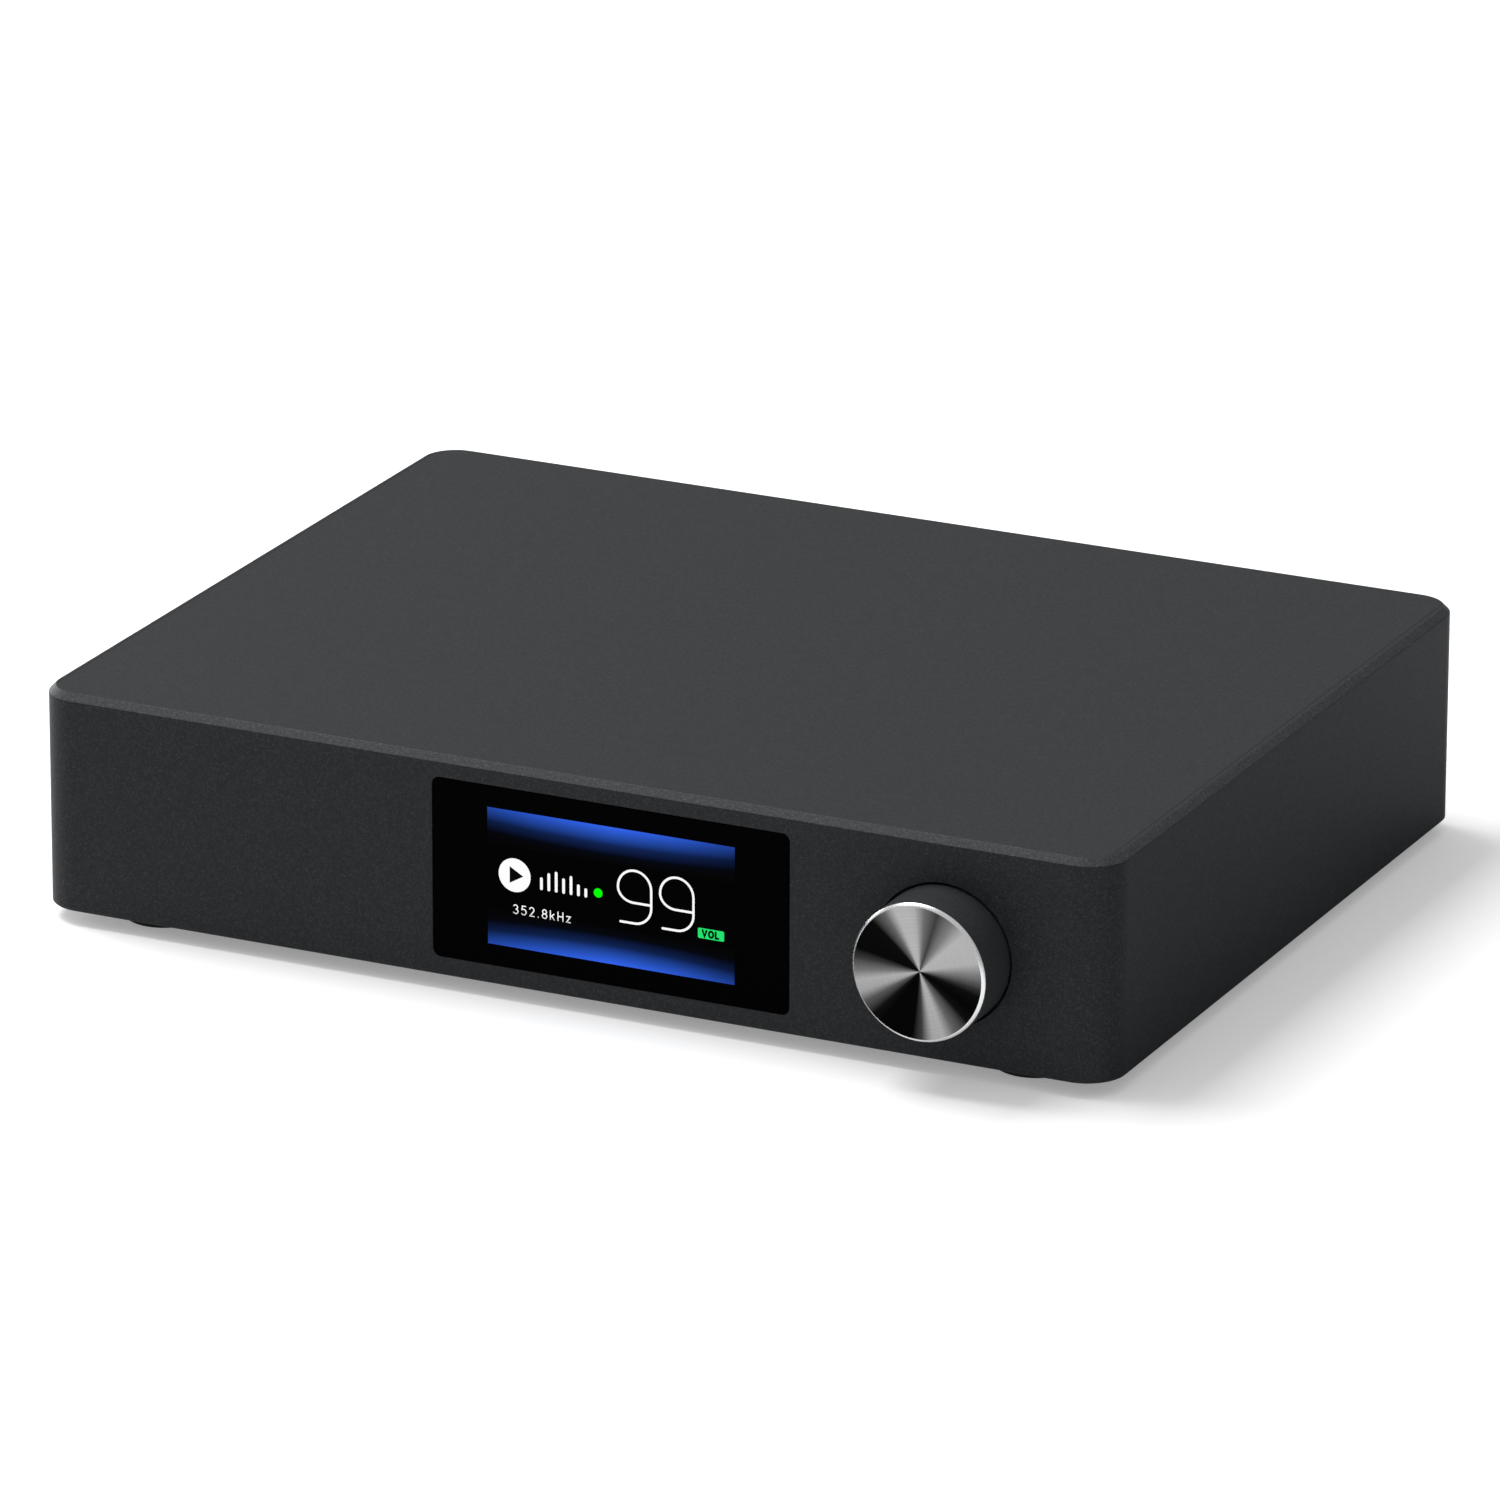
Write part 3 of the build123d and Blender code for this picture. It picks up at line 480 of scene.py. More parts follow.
def softCorner(before, corner, after, softness, steps=3):
    # a small arc, as (inset, height) points, in place of the corner between two straight runs
    start = corner + (before - corner).normalized() * softness
    end = corner + (after - corner).normalized() * softness
    return [start.lerp(corner, t).lerp(corner.lerp(end, t), t) for t in [k / steps for k in range(steps + 1)]]


def mirrored(rightSide):
    # closes an outline that is the same on both sides, from its right half, front to back
    startX, startY = rightSide[0]
    return [(-startX, startY)] + rightSide + [(-x, y) for x, y in reversed(rightSide[1:])]


def caseRings(low, high):
    # one outline for each step up the profile: bottom break, upright side, chamfer and top
    shape = caseShape
    chamfer = shape["chamfer"]
    corners = [Vector((shape["bottomBreak"], low.z)), Vector((0, low.z + shape["bottomBreak"])),
               Vector((0, high.z - chamfer)), Vector((chamfer, high.z)), Vector((3 * chamfer, high.z))]
    profile = [corners[0]]
    profile += softCorner(corners[0], corners[1], corners[2], shape["edgeSoftness"] * 0.6)
    profile += softCorner(corners[1], corners[2], corners[3], shape["edgeSoftness"])
    profile += softCorner(corners[2], corners[3], corners[4], shape["edgeSoftness"])
    rings = []
    for inset, height in profile:
        outline = roundedRect(high.x - inset, high.y - inset, shape["cornerRadius"] - inset)
        rings.append([Vector((x, y, height)) for x, y in outline])
    middles = [(a.y + b.y) / 2 for a, b in zip(profile, profile[1:])]
    slots = [1 if high.z - chamfer - 1e-6 <= z < high.z - 1e-5 else 0 for z in middles] + [0]
    return rings, slots


def buildCase(metal, chamferMetalAndHighlight):
    low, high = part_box("case_shell")
    shape = caseShape
    overcut = shape["overcut"]
    # the walls of the pocket and the bushing hole get a near-black colour as painted shade
    pocketPaintedShade = surfaceFinish("pocketPaintedShade", **caseFinish["pocket"])
    rings, slots = caseRings(low, high)
    case = ringStack("caseShell", rings, [metal, chamferMetalAndHighlight, pocketPaintedShade], slots=slots)

    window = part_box("display_window")
    middle = (window[0] + window[1]) / 2
    gap = shape["windowGap"]
    rebate = [(middle.x + x, middle.z + z) for x, z in
              roundedRect((window[1].x - window[0].x) / 2 + gap, (window[1].z - window[0].z) / 2 + gap,
                          shape["windowCorner"], 8)]
    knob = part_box("volume_knob")
    knobAt = ((knob[0].x + knob[1].x) / 2, 0, (knob[0].z + knob[1].z) / 2)
    front = low.y
    inner = front + shape["frontWall"]
    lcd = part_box("lcd_frame")
    lcdGap = shape["displayGap"]
    ceiling = high.z - shape["sideWall"]
    inX = high.x - shape["sideWall"]
    below = low.z - 2 * overcut
    behind = high.y + overcut
    opening = shape["rearOpening"]
    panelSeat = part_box("rear_panel")[0].y
    frontPost, frontBack = shape["frontPosts"]
    rearPost, rearFront = shape["rearPosts"]
    lip = high.y - shape["rearLip"]
    hollow = mirrored([(frontPost, inner), (frontPost, frontBack), (inX, frontBack), (inX, rearFront),
                       (rearPost, rearFront), (rearPost, behind)])
    seat = mirrored([(inX, inner), (inX, lip), (opening, lip), (opening, behind)])

    def turned(name, radius, near, far):
        return lathe(name, [(0, near), (radius, near), (radius, far), (0, far)], knobAt, (0, 1, 0),
                     [metal, chamferMetalAndHighlight, pocketPaintedShade], [2, 2, 2])

    cutAway(case, [
        prismXY("hollow", hollow, below, ceiling),
        prismXY("plateSeat", seat, below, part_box("bottom_plate")[1].z),
        boxPiece("panelSeat", (-opening, panelSeat, below), (opening, behind, ceiling)),
        prismXZ("rebate", rebate, front - overcut, window[1].y + shape["gasketSeat"]),
        boxPiece("displayHole", (lcd[0].x - lcdGap, front - overcut, lcd[0].z - lcdGap),
                 (lcd[1].x + lcdGap, inner + overcut, lcd[1].z + lcdGap)),
        turned("pocket", shape["knobPocket"], front - overcut, front + shape["pocketDepth"]),
        turned("bushingHole", shape["bushingHole"], front, inner + overcut),
    ])
    softShade(case)
    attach(case, "case")
    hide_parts("case_shell")


# the knob: dark turned side, bright cut rim, spun face with painted reflection spokes, hollow behind
knobShape = {
    "rim": 0.52 * mm,
    "nick": 0.01 * mm,  # unit of the tiny steps at the rim's two edges
    "backBreak": 0.3 * mm,
    "wall": 2.0 * mm,
    "hubRadius": 5.2 * mm,
    "hubGap": 0.9 * mm,  # from the hub's end to the encoder
    "shaftBore": 3.06 * mm,
    "boreStop": 0.3 * mm,
    "dish": 0.9 * mm,
}


def buildKnob(metal):
    low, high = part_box("volume_knob")
    centre = ((low.x + high.x) / 2, 0, (low.z + high.z) / 2)
    radius = (high.x - low.x) / 2
    shape = knobShape
    rim, wall, broken, hub, bore = (shape[k] for k in ("rim", "wall", "backBreak", "hubRadius", "shaftBore"))
    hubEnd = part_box("encoder_housing")[0].y - shape["hubGap"]
    boreEnd = low.y + wall + shape["boreStop"]
    face = spunFaceWithPaintedReflection((centre[0], low.y, centre[2]))
    bright = surfaceFinish("cutKnobRim", **knobFinish["rim"])
    nick = shape["nick"]
    faceEdge = radius - rim - 2 * nick
    # radius, depth and finish: 0 face, 1 rim, 2 side
    steps = [(faceEdge * k / 8, low.y + shape["dish"] * (1 - (k / 8) ** 2), 0) for k in range(9)]
    steps += [
        (radius - rim, low.y + nick, 1), (radius - 3 * nick, low.y + rim - 2 * nick, 1),
        (radius, low.y + rim + 5 * nick, 2), (radius, high.y - broken, 2), (radius - broken, high.y, 2),
        (radius - wall, high.y, 2), (radius - wall, low.y + wall, 2), (hub, low.y + wall, 2),
        (hub, hubEnd, 2), (bore, hubEnd, 2), (bore, boreEnd, 2), (0, boreEnd, 2),
    ]
    knob = lathe("volumeKnob", [(r, y) for r, y, _ in steps], centre, (0, 1, 0), [face, bright, metal],
                 [s for _, _, s in steps], steps=256)
    softShade(knob, 28)
    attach(knob, "knob")
    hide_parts("volume_knob")


# the black glass window and what the display shows in it
displayShape = {
    "glassCorner": 1.3 * mm,
    "edgeBreak": 0.12 * mm,
    "lift": 0.02 * mm,
    "thickness": 0.018 * mm,
    "border": 2.0 * mm,
    "glowHeight": 6.3 * mm,
    # each "at" is a place from the lower left corner of the lit area
    "digits": dict(at=(23.8 * mm, 7.75 * mm), height=9.15 * mm, stroke=0.40 * mm, spacing=0.175),
    "rate": dict(at=(4.7 * mm, 6.0 * mm), height=1.50 * mm, stroke=0.185 * mm, spacing=0.43),
    "disc": dict(at=(4.95 * mm, 12.65 * mm), radius=2.92 * mm),
    "mark": dict(back=0.9 * mm, tip=1.6 * mm, half=1.45 * mm),
    "bars": dict(first=4.9 * mm, pitch=1.35 * mm, half=1.55 * mm, stroke=0.50 * mm,
                 shares=(0.55, 0.85, 1.0, 0.7, 0.9, 0.5, 0.35)),
    "dot": dict(at=(20.2 * mm, 12.0 * mm), radius=0.80 * mm),
    "badge": dict(at=(40.65 * mm, 8.05 * mm), half=(2.36 * mm, 0.88 * mm), corner=0.25 * mm),
    "badgeName": dict(left=1.50 * mm, below=0.52 * mm, height=1.05 * mm, stroke=0.36 * mm, spacing=0.42),
}


def buildWindow(glass):
    low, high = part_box("display_window")
    middle = (low + high) / 2
    shape = displayShape
    rings = []
    for inset, y in ((shape["edgeBreak"], low.y), (0, low.y + shape["edgeBreak"]), (0, high.y)):
        outline = roundedRect((high.x - low.x) / 2 - inset, (high.z - low.z) / 2 - inset,
                              shape["glassCorner"] - inset, 8)
        rings.append([Vector((middle.x + x, y, middle.z + z)) for x, z in outline])
    window = ringStack("displayWindow", rings, [glass])
    softShade(window)
    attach(window, "case")
    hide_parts("display_window")


def arc(centreX, centreZ, radiusX, radiusZ, start, end, steps=18):
    # degrees, anticlockwise from the right
    angles = [math.radians(start + (end - start) * k / steps) for k in range(steps + 1)]
    return [(centreX + radiusX * math.cos(angle), centreZ + radiusZ * math.sin(angle)) for angle in angles]


# strokes of each sign in a box one unit high
signs = {
    "9": (0.66, [[(0.05, 0.0), (0.30, 0.0)] + arc(0.33, 0.33, 0.33, 0.33, -90, 0)
                 + [(0.66, 0.66)] + arc(0.33, 0.66, 0.33, 0.34, 0, 180)
                 + arc(0.31, 0.66, 0.31, 0.27, 180, 270) + [(0.66, 0.39)]]),
    "3": (0.56, [arc(0.27, 0.76, 0.24, 0.24, 150, -90) + arc(0.27, 0.26, 0.29, 0.26, 90, -145)]),
    "5": (0.56, [[(0.50, 1.0), (0.10, 1.0), (0.06, 0.58)] + arc(0.26, 0.32, 0.30, 0.32, 115, -140)]),
    "2": (0.56, [arc(0.27, 0.72, 0.26, 0.28, 165, -25) + [(0.03, 0.0), (0.55, 0.0)]]),
    "8": (0.56, [arc(0.28, 0.75, 0.23, 0.25, 0, 360), arc(0.28, 0.26, 0.28, 0.26, 0, 360)]),
    ".": (0.12, [[(0.05, 0.0), (0.051, 0.03)]]),
    "k": (0.50, [[(0.0, 1.0), (0.0, 0.0)], [(0.44, 0.66), (0.0, 0.28)], [(0.16, 0.42), (0.48, 0.0)]]),
    "H": (0.62, [[(0.0, 1.0), (0.0, 0.0)], [(0.60, 1.0), (0.60, 0.0)], [(0.0, 0.5), (0.60, 0.5)]]),
    "z": (0.46, [[(0.0, 0.66), (0.44, 0.66), (0.0, 0.0), (0.46, 0.0)]]),
    "V": (0.66, [[(0.0, 1.0), (0.33, 0.0), (0.66, 1.0)]]),
    "O": (0.74, [arc(0.37, 0.5, 0.37, 0.5, 0, 360)]),
    "L": (0.46, [[(0.0, 1.0), (0.0, 0.0), (0.46, 0.0)]]),
}


def ribbon(path, width):
    # the middle points of a stroke, both its edges, whether it is a loop, and half its width
    points = [Vector(p) for p in path]
    closed = (points[0] - points[-1]).length < 1e-9
    if closed:
        points = points[:-1]
    half = width / 2
    count = len(points)
    left, right = [], []
    for i, point in enumerate(points):
        before = points[(i - 1) % count] if closed or i else point
        after = points[(i + 1) % count] if closed or i < count - 1 else point
        back = (point - before).normalized() if (point - before).length > 0 else None
        ahead = (after - point).normalized() if (after - point).length > 0 else None
        along = ((back or ahead) + (ahead or back)).normalized()
        bend = max(0.45, along.dot(ahead or along))
        normal = Vector((-along.y, along.x)) * half / bend
        left.append(point + normal)
        right.append(point - normal)
    return points, left, right, closed, half


def strokePiece(paths, width, y, name, material):
    # thin strokes whose fronts stand at depth y
    shape = bmesh.new()
    for path in paths:
        points, left, right, closed, half = ribbon(path, width)
        count = len(points)
        spans = count if closed else count - 1
        for i in range(spans):
            j = (i + 1) % count
            corners = [left[i], right[i], right[j], left[j]]
            shape.faces.new([shape.verts.new((c.x, y, c.y)) for c in corners])
        if not closed:
            for end, inner in ((points[0], points[1]), (points[-1], points[-2])):
                away = math.degrees(math.atan2(end.y - inner.y, end.x - inner.x))
                cap = arc(end.x, end.y, half, half, away - 90, away + 90, 8)
                shape.faces.new([shape.verts.new((cx, y, cz)) for cx, cz in cap])
    bmesh.ops.remove_doubles(shape, verts=shape.verts, dist=1e-8)
    bmesh.ops.recalc_face_normals(shape, faces=shape.faces)
    thick = bmesh.ops.extrude_face_region(shape, geom=shape.faces[:])
    grown = [v for v in thick["geom"] if isinstance(v, bmesh.types.BMVert)]
    bmesh.ops.translate(shape, verts=grown, vec=(0, displayShape["thickness"], 0))
    bmesh.ops.recalc_face_normals(shape, faces=shape.faces)
    mesh = bpy.data.meshes.new(name)
    shape.to_mesh(mesh)
    shape.free()
    mesh.materials.append(material)
    piece = bpy.data.objects.new(name, mesh)
    bpy.context.scene.collection.objects.link(piece)
    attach(piece, "case")


def written(text, x, z, height, spacing):
    # the strokes of a run of signs whose lower left corner is at x, z
    paths = []
    for letter in text:
        width, strokes = signs[letter]
        for stroke in strokes:
            paths.append([(x + px * height, z + pz * height) for px, pz in stroke])
        x += (width + spacing) * height
    return paths


def flatShape(name, outline, y, material):
    piece = prismXZ(name, outline, y, y + displayShape["thickness"], [material])
    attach(piece, "case")


glowShape = {
    "endLoss": 0.55,
    "inward": [(0.0, (0, 0, 0)), (0.22, (0.0003, 0.001, 0.004)), (0.5, (0.004, 0.016, 0.085)),
               (0.78, (0.018, 0.080, 0.47)), (1.0, (0.031, 0.125, 0.84))],
    "along": [(0.0, 0.62), (0.2, 0.80), (0.5, 1.0), (0.75, 0.84), (1.0, 0.50)],
}


def glowFinish(name, flip):
    # blue light that is brightest along the display's edge and dies away towards its middle
    material, nodes, links, shader = newFinish(name)
    split = splitOf(nodes, links, nodes.new("ShaderNodeTexCoord").outputs["Generated"])
    height = mathOf(nodes, links, "SUBTRACT", 1.0, split["Z"]) if flip else split["Z"]
    # the glow reaches further in at the middle than at the ends
    aside = mathOf(nodes, links, "SUBTRACT", split["X"], 0.5)
    squared = mathOf(nodes, links, "MULTIPLY", aside, aside)
    lowered = mathOf(nodes, links, "MULTIPLY_ADD", squared, -glowShape["endLoss"], height)
    glow = nodes.new("ShaderNodeMix")
    glow.data_type = "RGBA"
    glow.blend_type = "MULTIPLY"
    glow.inputs[0].default_value = 1.0
    links.new(ramp(nodes, links, lowered, glowShape["inward"]), glow.inputs[6])
    links.new(ramp(nodes, links, split["X"], glowShape["along"]), glow.inputs[7])
    lightUp(links, shader, glow.outputs[2], 0.001)
    return material


def buildDisplay():
    low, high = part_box("lcd_panel")
    shape = displayShape
    left, right = low.x + shape["border"], high.x - shape["border"]
    bottom, top = low.z + shape["border"], high.z - shape["border"]
    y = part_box("display_window")[0].y - shape["lift"]
    white = litFinish("displayWhite", (1.0, 1.0, 1.0))
    green = litFinish("displayGreen", (0.0, 1.0, 0.0))
    mint = litFinish("displayMint", (0.015, 0.78, 0.16))
    ink = litFinish("displayInk", (0.0, 0.0, 0.0))
    glow = shape["glowHeight"]
    for name, start, finish in (("Top", top - glow, glowFinish("blueGlowTop", False)),
                                ("Bottom", bottom, glowFinish("blueGlowBottom", True))):
        band = [(left, start), (right, start), (right, start + glow), (left, start + glow)]
        flatShape("glow" + name, band, y, finish)
    for name, text, line in (("volumeDigits", "99", shape["digits"]),
                             ("rateDigits", "352.8kHz", shape["rate"])):
        strokes = written(text, left + line["at"][0], bottom + line["at"][1], line["height"], line["spacing"])
        strokePiece(strokes, line["stroke"], y, name, white)
    # a plain disc with a play mark, and level bars
    disc, mark, bars = shape["disc"], shape["mark"], shape["bars"]
    discX, discZ = left + disc["at"][0], bottom + disc["at"][1]
    flatShape("modeDisc", arc(discX, discZ, disc["radius"], disc["radius"], 0, 354, 59), y, white)
    flatShape("modeMark", [(discX - mark["back"], discZ - mark["half"]), (discX + mark["tip"], discZ),
                           (discX - mark["back"], discZ + mark["half"])], y - shape["lift"], ink)
    strokes = []
    for i, share in enumerate(bars["shares"]):
        x = discX + bars["first"] + bars["pitch"] * i
        strokes.append([(x, discZ - bars["half"]), (x, discZ + bars["half"] * (2 * share - 1))])
    strokePiece(strokes, bars["stroke"], y, "levelBars", white)
    dot, badge, name = shape["dot"], shape["badge"], shape["badgeName"]
    dotX, dotZ = left + dot["at"][0], bottom + dot["at"][1]
    flatShape("statusDot", arc(dotX, dotZ, dot["radius"], dot["radius"], 0, 350, 35), y, green)
    badgeX, badgeZ = left + badge["at"][0], bottom + badge["at"][1]
    plate = [(badgeX + x, badgeZ + z) for x, z in roundedRect(*badge["half"], badge["corner"], 5)]
    flatShape("volumeBadge", plate, y, mint)
    strokes = written("VOL", badgeX - name["left"], badgeZ - name["below"], name["height"], name["spacing"])
    strokePiece(strokes, name["stroke"], y - shape["lift"], "volumeBadgeName", ink)


# the feet: rubber discs with a rounded edge and a dimple underneath
footShape = {
    "edgeRound": 0.5 * mm,
    "dimple": 3.0 * mm,
    "dimpleDepth": 0.8 * mm,
    "dimpleBreak": 0.2 * mm,
}


def buildFeet(rubber):
    for node in ("foot_front_left", "foot_front_right", "foot_rear_left", "foot_rear_right"):
        low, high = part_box(node)
        centre = ((low.x + high.x) / 2, (low.y + high.y) / 2, 0)
        radius = (high.x - low.x) / 2
        edge, dimple, depth = footShape["edgeRound"], footShape["dimple"], footShape["dimpleDepth"]
        softened = footShape["dimpleBreak"]
        profile = [(0, high.z), (radius, high.z), (radius, edge)]
        for turn in (math.radians(a) for a in (22.5, 45, 67.5, 90)):
            profile.append((radius - edge + edge * math.cos(turn), edge - edge * math.sin(turn)))
        profile += [(dimple + softened, 0), (dimple, softened), (dimple, depth), (0, depth)]
        foot = lathe(node.replace("_", "."), profile, centre, (0, 0, 1), [rubber], steps=96)
        softShade(foot)
        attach(foot, "case")
        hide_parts(node)


# rear sockets: turned shells with rounded lips and ground rings, and a threaded antenna barrel
shellShape = {
    "bore": 3.55 * mm,
    "wall": 0.65 * mm,  # outside the insulator
    "shoulder": 0.6 * mm,  # how far the flange stands off the rear panel
    "lip": 0.22 * mm,
    "firstGroove": 1.1 * mm,
    "groovePitch": 0.62 * mm,
    "grooves": 3,
    "grooveDepth": 0.12 * mm,
    "grooveFloor": 0.14 * mm,
}

jackShape = {
    "barrelRadius": 3.1 * mm,
    "neckRadius": 2.6 * mm,
    "bore": 2.3 * mm,
    "pinRadius": 0.6 * mm,
    "tailRadius": 1.3 * mm,
    "flangeDepth": 2.5 * mm,
    "threadPitch": 0.50 * mm,
    "threadDepth": 0.13 * mm,
    "nutGap": 0.3 * mm,  # from the nut to the first turn of the thread
    "plainEnd": 0.7 * mm,
    "mouthBreak": 0.1 * mm,
    "boreFloor": 0.2 * mm,
    "pinInset": 1.9 * mm,
    "pinBreak": 0.2 * mm,
}


def buildPhonoShells(gold):
    low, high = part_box("phono_shells")
    shape = shellShape
    bore, lip, depth = shape["bore"], shape["lip"], shape["grooveDepth"]
    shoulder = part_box("rear_panel")[1].y + shape["shoulder"]
    flange = (high.z - low.z) / 2
    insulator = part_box("phono_insulator_left")
    radius = (insulator[1].x - insulator[0].x) / 2 + shape["wall"]
    profile = [(bore, low.y), (flange, low.y), (flange, shoulder - lip),
               (flange - lip * 0.3, shoulder - lip * 0.3), (flange - lip, shoulder), (radius, shoulder)]
    for i in range(shape["grooves"]):
        start = shoulder + shape["firstGroove"] + shape["groovePitch"] * i
        end = start + shape["grooveFloor"] + 2 * depth
        profile += [(radius, start), (radius - depth, start + depth),
                    (radius - depth, end - depth), (radius, end)]
    profile += [(radius, high.y - lip), (radius - lip * 0.3, high.y - lip * 0.3), (radius - lip, high.y),
                (bore + lip * 0.6, high.y), (bore, high.y - lip * 0.6), (bore, low.y)]
    for name in ("left", "right", "coax"):
        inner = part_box("phono_insulator_" + name)
        centre = ((inner[0].x + inner[1].x) / 2, 0, (inner[0].z + inner[1].z) / 2)
        shell = lathe("phonoShell." + name, profile, centre, (0, 1, 0), [gold], steps=96)
        softShade(shell)
        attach(shell, "case")
        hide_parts("phono_shells")


def buildAntennaJack(gold):
    # fine rings stand for the thread on the part of the barrel that sticks out of the nut
    low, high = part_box("antenna_jack")
    shape = jackShape
    centre = ((low.x + high.x) / 2, 0, (low.z + high.z) / 2)
    flange = (high.z - low.z) / 2
    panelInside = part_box("rear_panel")[0].y
    flangeBack = panelInside - shape["flangeDepth"]
    barrel, neck, bore, pin, tail = (shape[k] for k in
                                     ("barrelRadius", "neckRadius", "bore", "pinRadius", "tailRadius"))
    root, pitch, mouth = barrel - shape["threadDepth"], shape["threadPitch"], shape["mouthBreak"]
    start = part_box("antenna_nut")[1].y + shape["nutGap"]
    boreFloor = start + shape["boreFloor"]
    pinEnd = high.y - shape["pinInset"]
    profile = [(0, low.y), (tail, low.y), (tail, flangeBack), (flange, flangeBack), (flange, panelInside),
               (neck, panelInside), (neck, start), (root, start)]
    for i in range(int((high.y - shape["plainEnd"] - start) / pitch)):
        y = start + i * pitch
        profile += [(barrel, y + pitch * 0.4), (barrel, y + pitch * 0.6), (root, y + pitch)]
    profile += [(barrel - 3 * mouth, high.y), (bore + mouth, high.y), (bore, high.y - mouth),
                (bore, boreFloor), (pin, boreFloor), (pin, pinEnd - shape["pinBreak"]),
                (pin * 0.6, pinEnd), (0, pinEnd)]
    jack = lathe("antennaJack", profile, centre, (0, 1, 0), [gold], steps=96)
    softShade(jack, 20)
    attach(jack, "case")
    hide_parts("antenna_jack")


# floor, light and camera
studio = {
    "floorSize": 7.0,
    "floorColour": 0.90,
    "floorLift": 0.28,
    # a grey card at the right shows only as a reflection in the case's right side
    "cardGrey": 0.60,
    "cardLift": 0.4 * mm,
    "cardCorners": [(0.0985, -0.07), (0.90, -0.40), (0.90, 1.50), (0.0985, 0.100)],
    "dome": 0.56,
    # towards the back right the dome falls to this share of its strength
    "domeFall": 0.15,
    "domeFallTo": (0.70, 0.70, 0.0),
    "domeFallRange": (0.30, 0.85),  # cosines between which it falls
    "softbox": dict(aim=(-0.43, 0.0, 0.90), distance=2.4, size=1.2, power=39.0),
    "strip": dict(aim=(-0.96, 0.32, 0.10), distance=0.9, size=0.6, power=6.0),
    "lampTarget": (0, 0, 0.02),
}

cameraPlace = {
    "azimuth": 25.519,
    "elevation": 19.426,
    "roll": 0.136,
    "lens": 274.56,
    "place": (0.78426, -1.64538, 0.66463),
}


def buildFloor():
    size = studio["floorSize"]
    floor = makeObject("floor", [(-size, -size, 0), (size, -size, 0), (size, size, 0), (-size, size, 0)],
                       [(0, 1, 2, 3)])
    material, nodes, links, shader = newFinish("paleFloor")
    nodes.remove(shader)
    matt = nodes.new("ShaderNodeBsdfDiffuse")
    matt.inputs["Color"].default_value = (*[studio["floorColour"]] * 3, 1)
    # a little light of its own, for the camera and for reflections only
    lift = nodes.new("ShaderNodeEmission")
    lift.inputs["Color"].default_value = (1, 1, 1, 1)
    path = nodes.new("ShaderNodeLightPath").outputs
    shiny = mathOf(nodes, links, "MAXIMUM", path["Is Glossy Ray"], path["Is Transmission Ray"])
    seen = mathOf(nodes, links, "MAXIMUM", path["Is Camera Ray"], shiny)
    links.new(mathOf(nodes, links, "MULTIPLY", seen, studio["floorLift"]), lift.inputs["Strength"])
    both = nodes.new("ShaderNodeAddShader")
    links.new(matt.outputs[0], both.inputs[0])
    links.new(lift.outputs[0], both.inputs[1])
    links.new(both.outputs[0], nodes["Material Output"].inputs["Surface"])
    floor.data.materials.append(material)


def buildSideCard():
    grey = studio["cardGrey"]
    paper = surfaceFinish("sideCard", (grey * 0.94, grey, grey * 1.08), roughness=0.9, ior=1.05, grain=300)
    corners = [(x, y, studio["cardLift"]) for x, y in studio["cardCorners"]]
    card = makeObject("sideCard", corners, [(0, 1, 2, 3)], materials=[paper])
    card.visible_camera = False
    card.visible_diffuse = False
    card.visible_shadow = False


def aimedLamp(name, aim, distance, size, power):
    lamp = bpy.data.lights.new(name, "AREA")
    lamp.shape = "RECTANGLE"
    lamp.size = size
    lamp.size_y = size
    lamp.energy = power
    holder = bpy.data.objects.new(name, lamp)
    direction = Vector(aim).normalized()
    holder.location = Vector(studio["lampTarget"]) + direction * distance
    holder.rotation_euler = direction.to_track_quat("Z", "Y").to_euler()
    bpy.context.scene.collection.objects.link(holder)


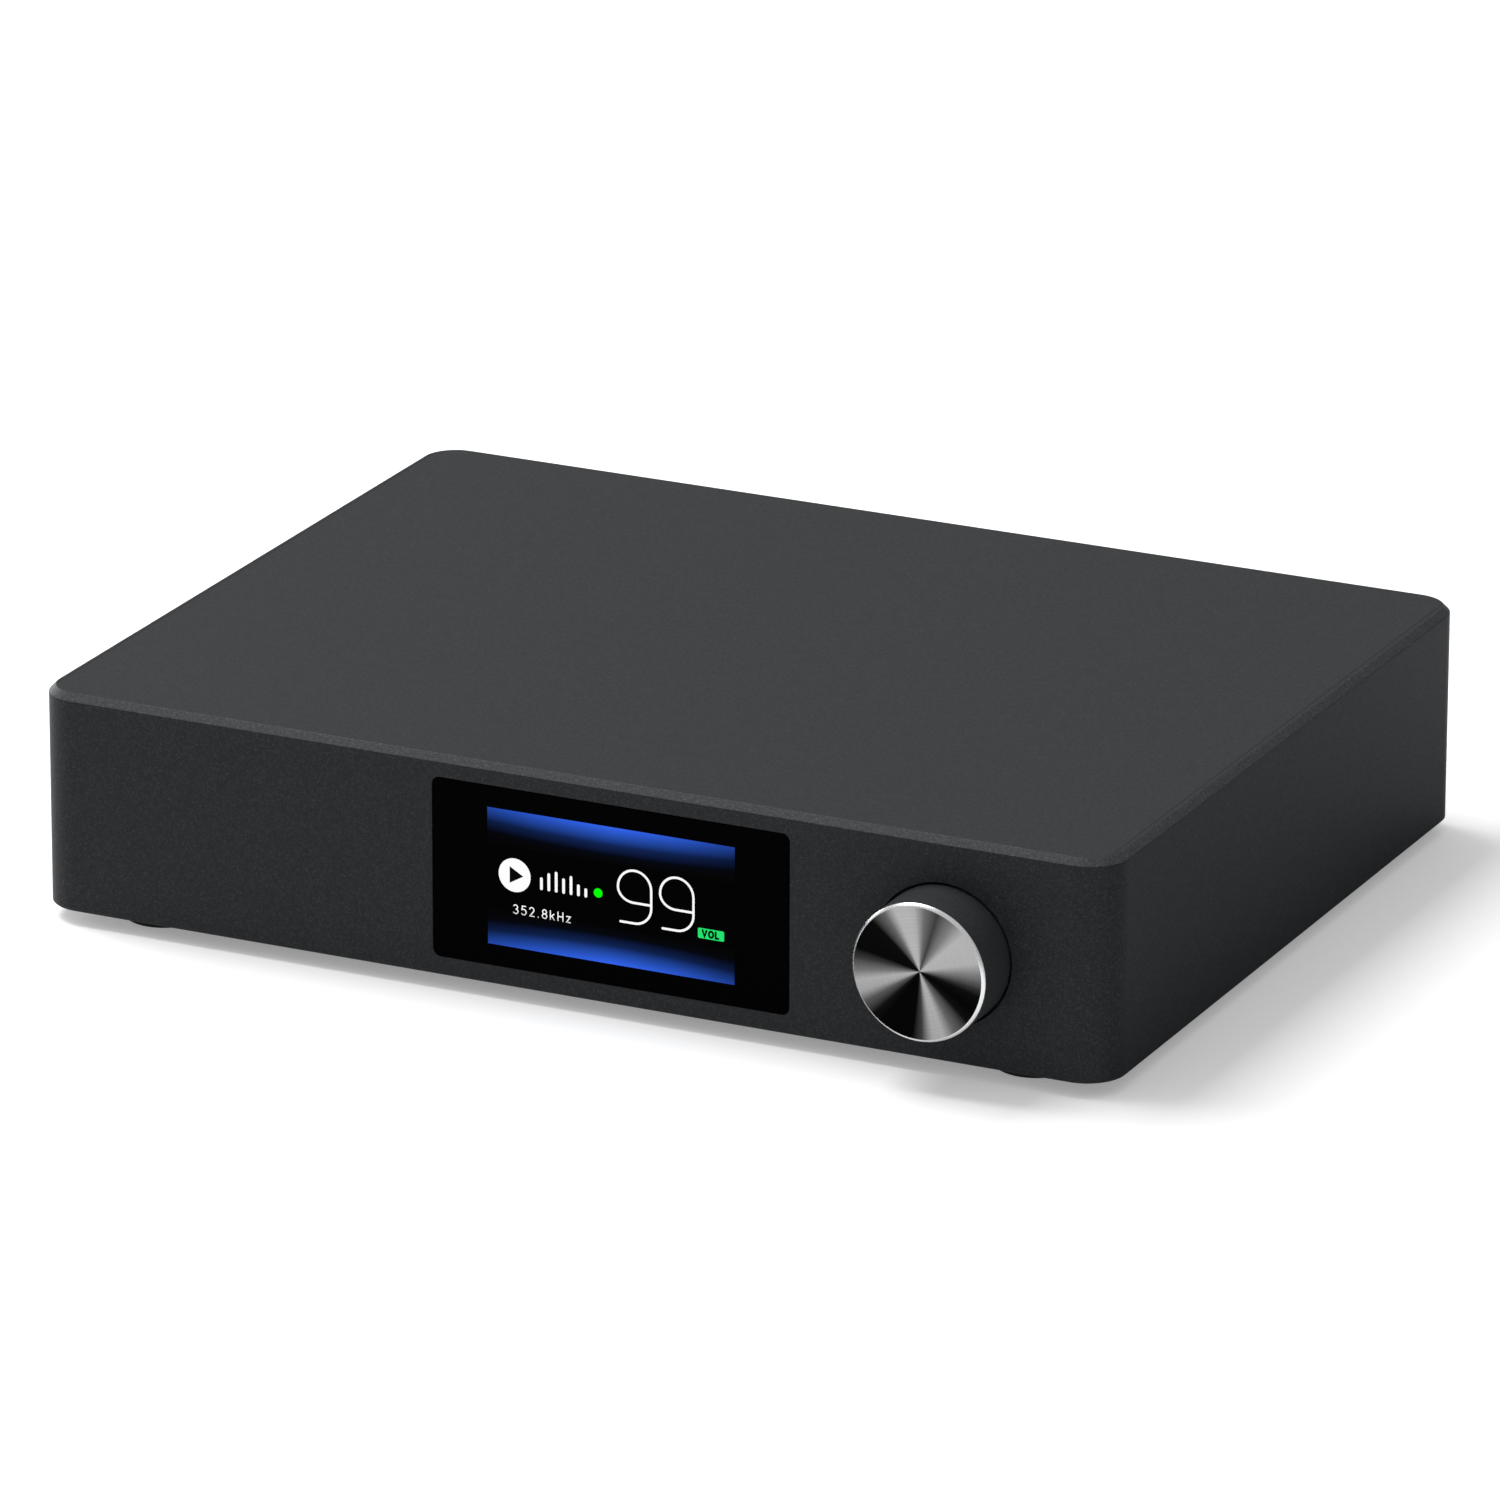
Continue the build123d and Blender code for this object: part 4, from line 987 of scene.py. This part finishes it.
def buildLight():
    world = bpy.data.worlds.new("softDome")
    bpy.context.scene.world = world
    world.use_nodes = True
    nodes, links = world.node_tree.nodes, world.node_tree.links
    background = nodes["Background"]
    background.inputs["Color"].default_value = (1, 1, 1, 1)
    towards = nodes.new("ShaderNodeVectorMath")
    towards.operation = "DOT_PRODUCT"
    towards.inputs[1].default_value = studio["domeFallTo"]
    links.new(nodes.new("ShaderNodeTexCoord").outputs["Generated"], towards.inputs[0])
    level = nodes.new("ShaderNodeMapRange")
    level.inputs["From Min"].default_value, level.inputs["From Max"].default_value = studio["domeFallRange"]
    level.inputs["To Min"].default_value = studio["dome"]
    level.inputs["To Max"].default_value = studio["dome"] * studio["domeFall"]
    links.new(towards.outputs["Value"], level.inputs["Value"])
    links.new(level.outputs[0], background.inputs["Strength"])
    aimedLamp("overheadSoftbox", **studio["softbox"])
    aimedLamp("leftStrip", **studio["strip"])


def buildCamera():
    azimuth, elevation, roll = [math.radians(cameraPlace[k]) for k in ("azimuth", "elevation", "roll")]
    back = Vector((math.sin(azimuth) * math.cos(elevation), -math.cos(azimuth) * math.cos(elevation),
                   math.sin(elevation)))
    right = Vector((math.cos(azimuth), math.sin(azimuth), 0))
    up = back.cross(right)
    turnedRight = right * math.cos(roll) + up * math.sin(roll)
    turnedUp = up * math.cos(roll) - right * math.sin(roll)
    view = bpy.data.cameras.new("viewCamera")
    view.sensor_width = 36
    view.lens = cameraPlace["lens"]
    view.clip_end = 50
    holder = bpy.data.objects.new("viewCamera", view)
    turn = Matrix((turnedRight, turnedUp, back)).transposed().to_4x4()
    holder.matrix_world = Matrix.Translation(cameraPlace["place"]) @ turn
    bpy.context.scene.collection.objects.link(holder)
    bpy.context.scene.camera = holder


print("finishes for the frame's own nodes")
shared = dressCadNodes()
print("case")
metal = caseMetal()
# the chamfer's paler colour is partly a painted highlight
buildCase(metal, blastedMetal("cutChamferAndHighlight", caseFinish["chamferColourAndHighlight"]))
print("knob")
buildKnob(surfaceFinish("knobMetal", **knobFinish["side"]))
print("window and display")
buildWindow(shared["window_black"])
buildDisplay()
print("feet")
buildFeet(shared["rubber_black"])
print("rear sockets")
buildPhonoShells(shared["gold_plated"])
buildAntennaJack(shared["gold_plated"])
print("floor, light and camera")
buildFloor()
buildSideCard()
buildLight()
buildCamera()
bpy.context.scene.view_settings.view_transform = "Standard"

print("done")
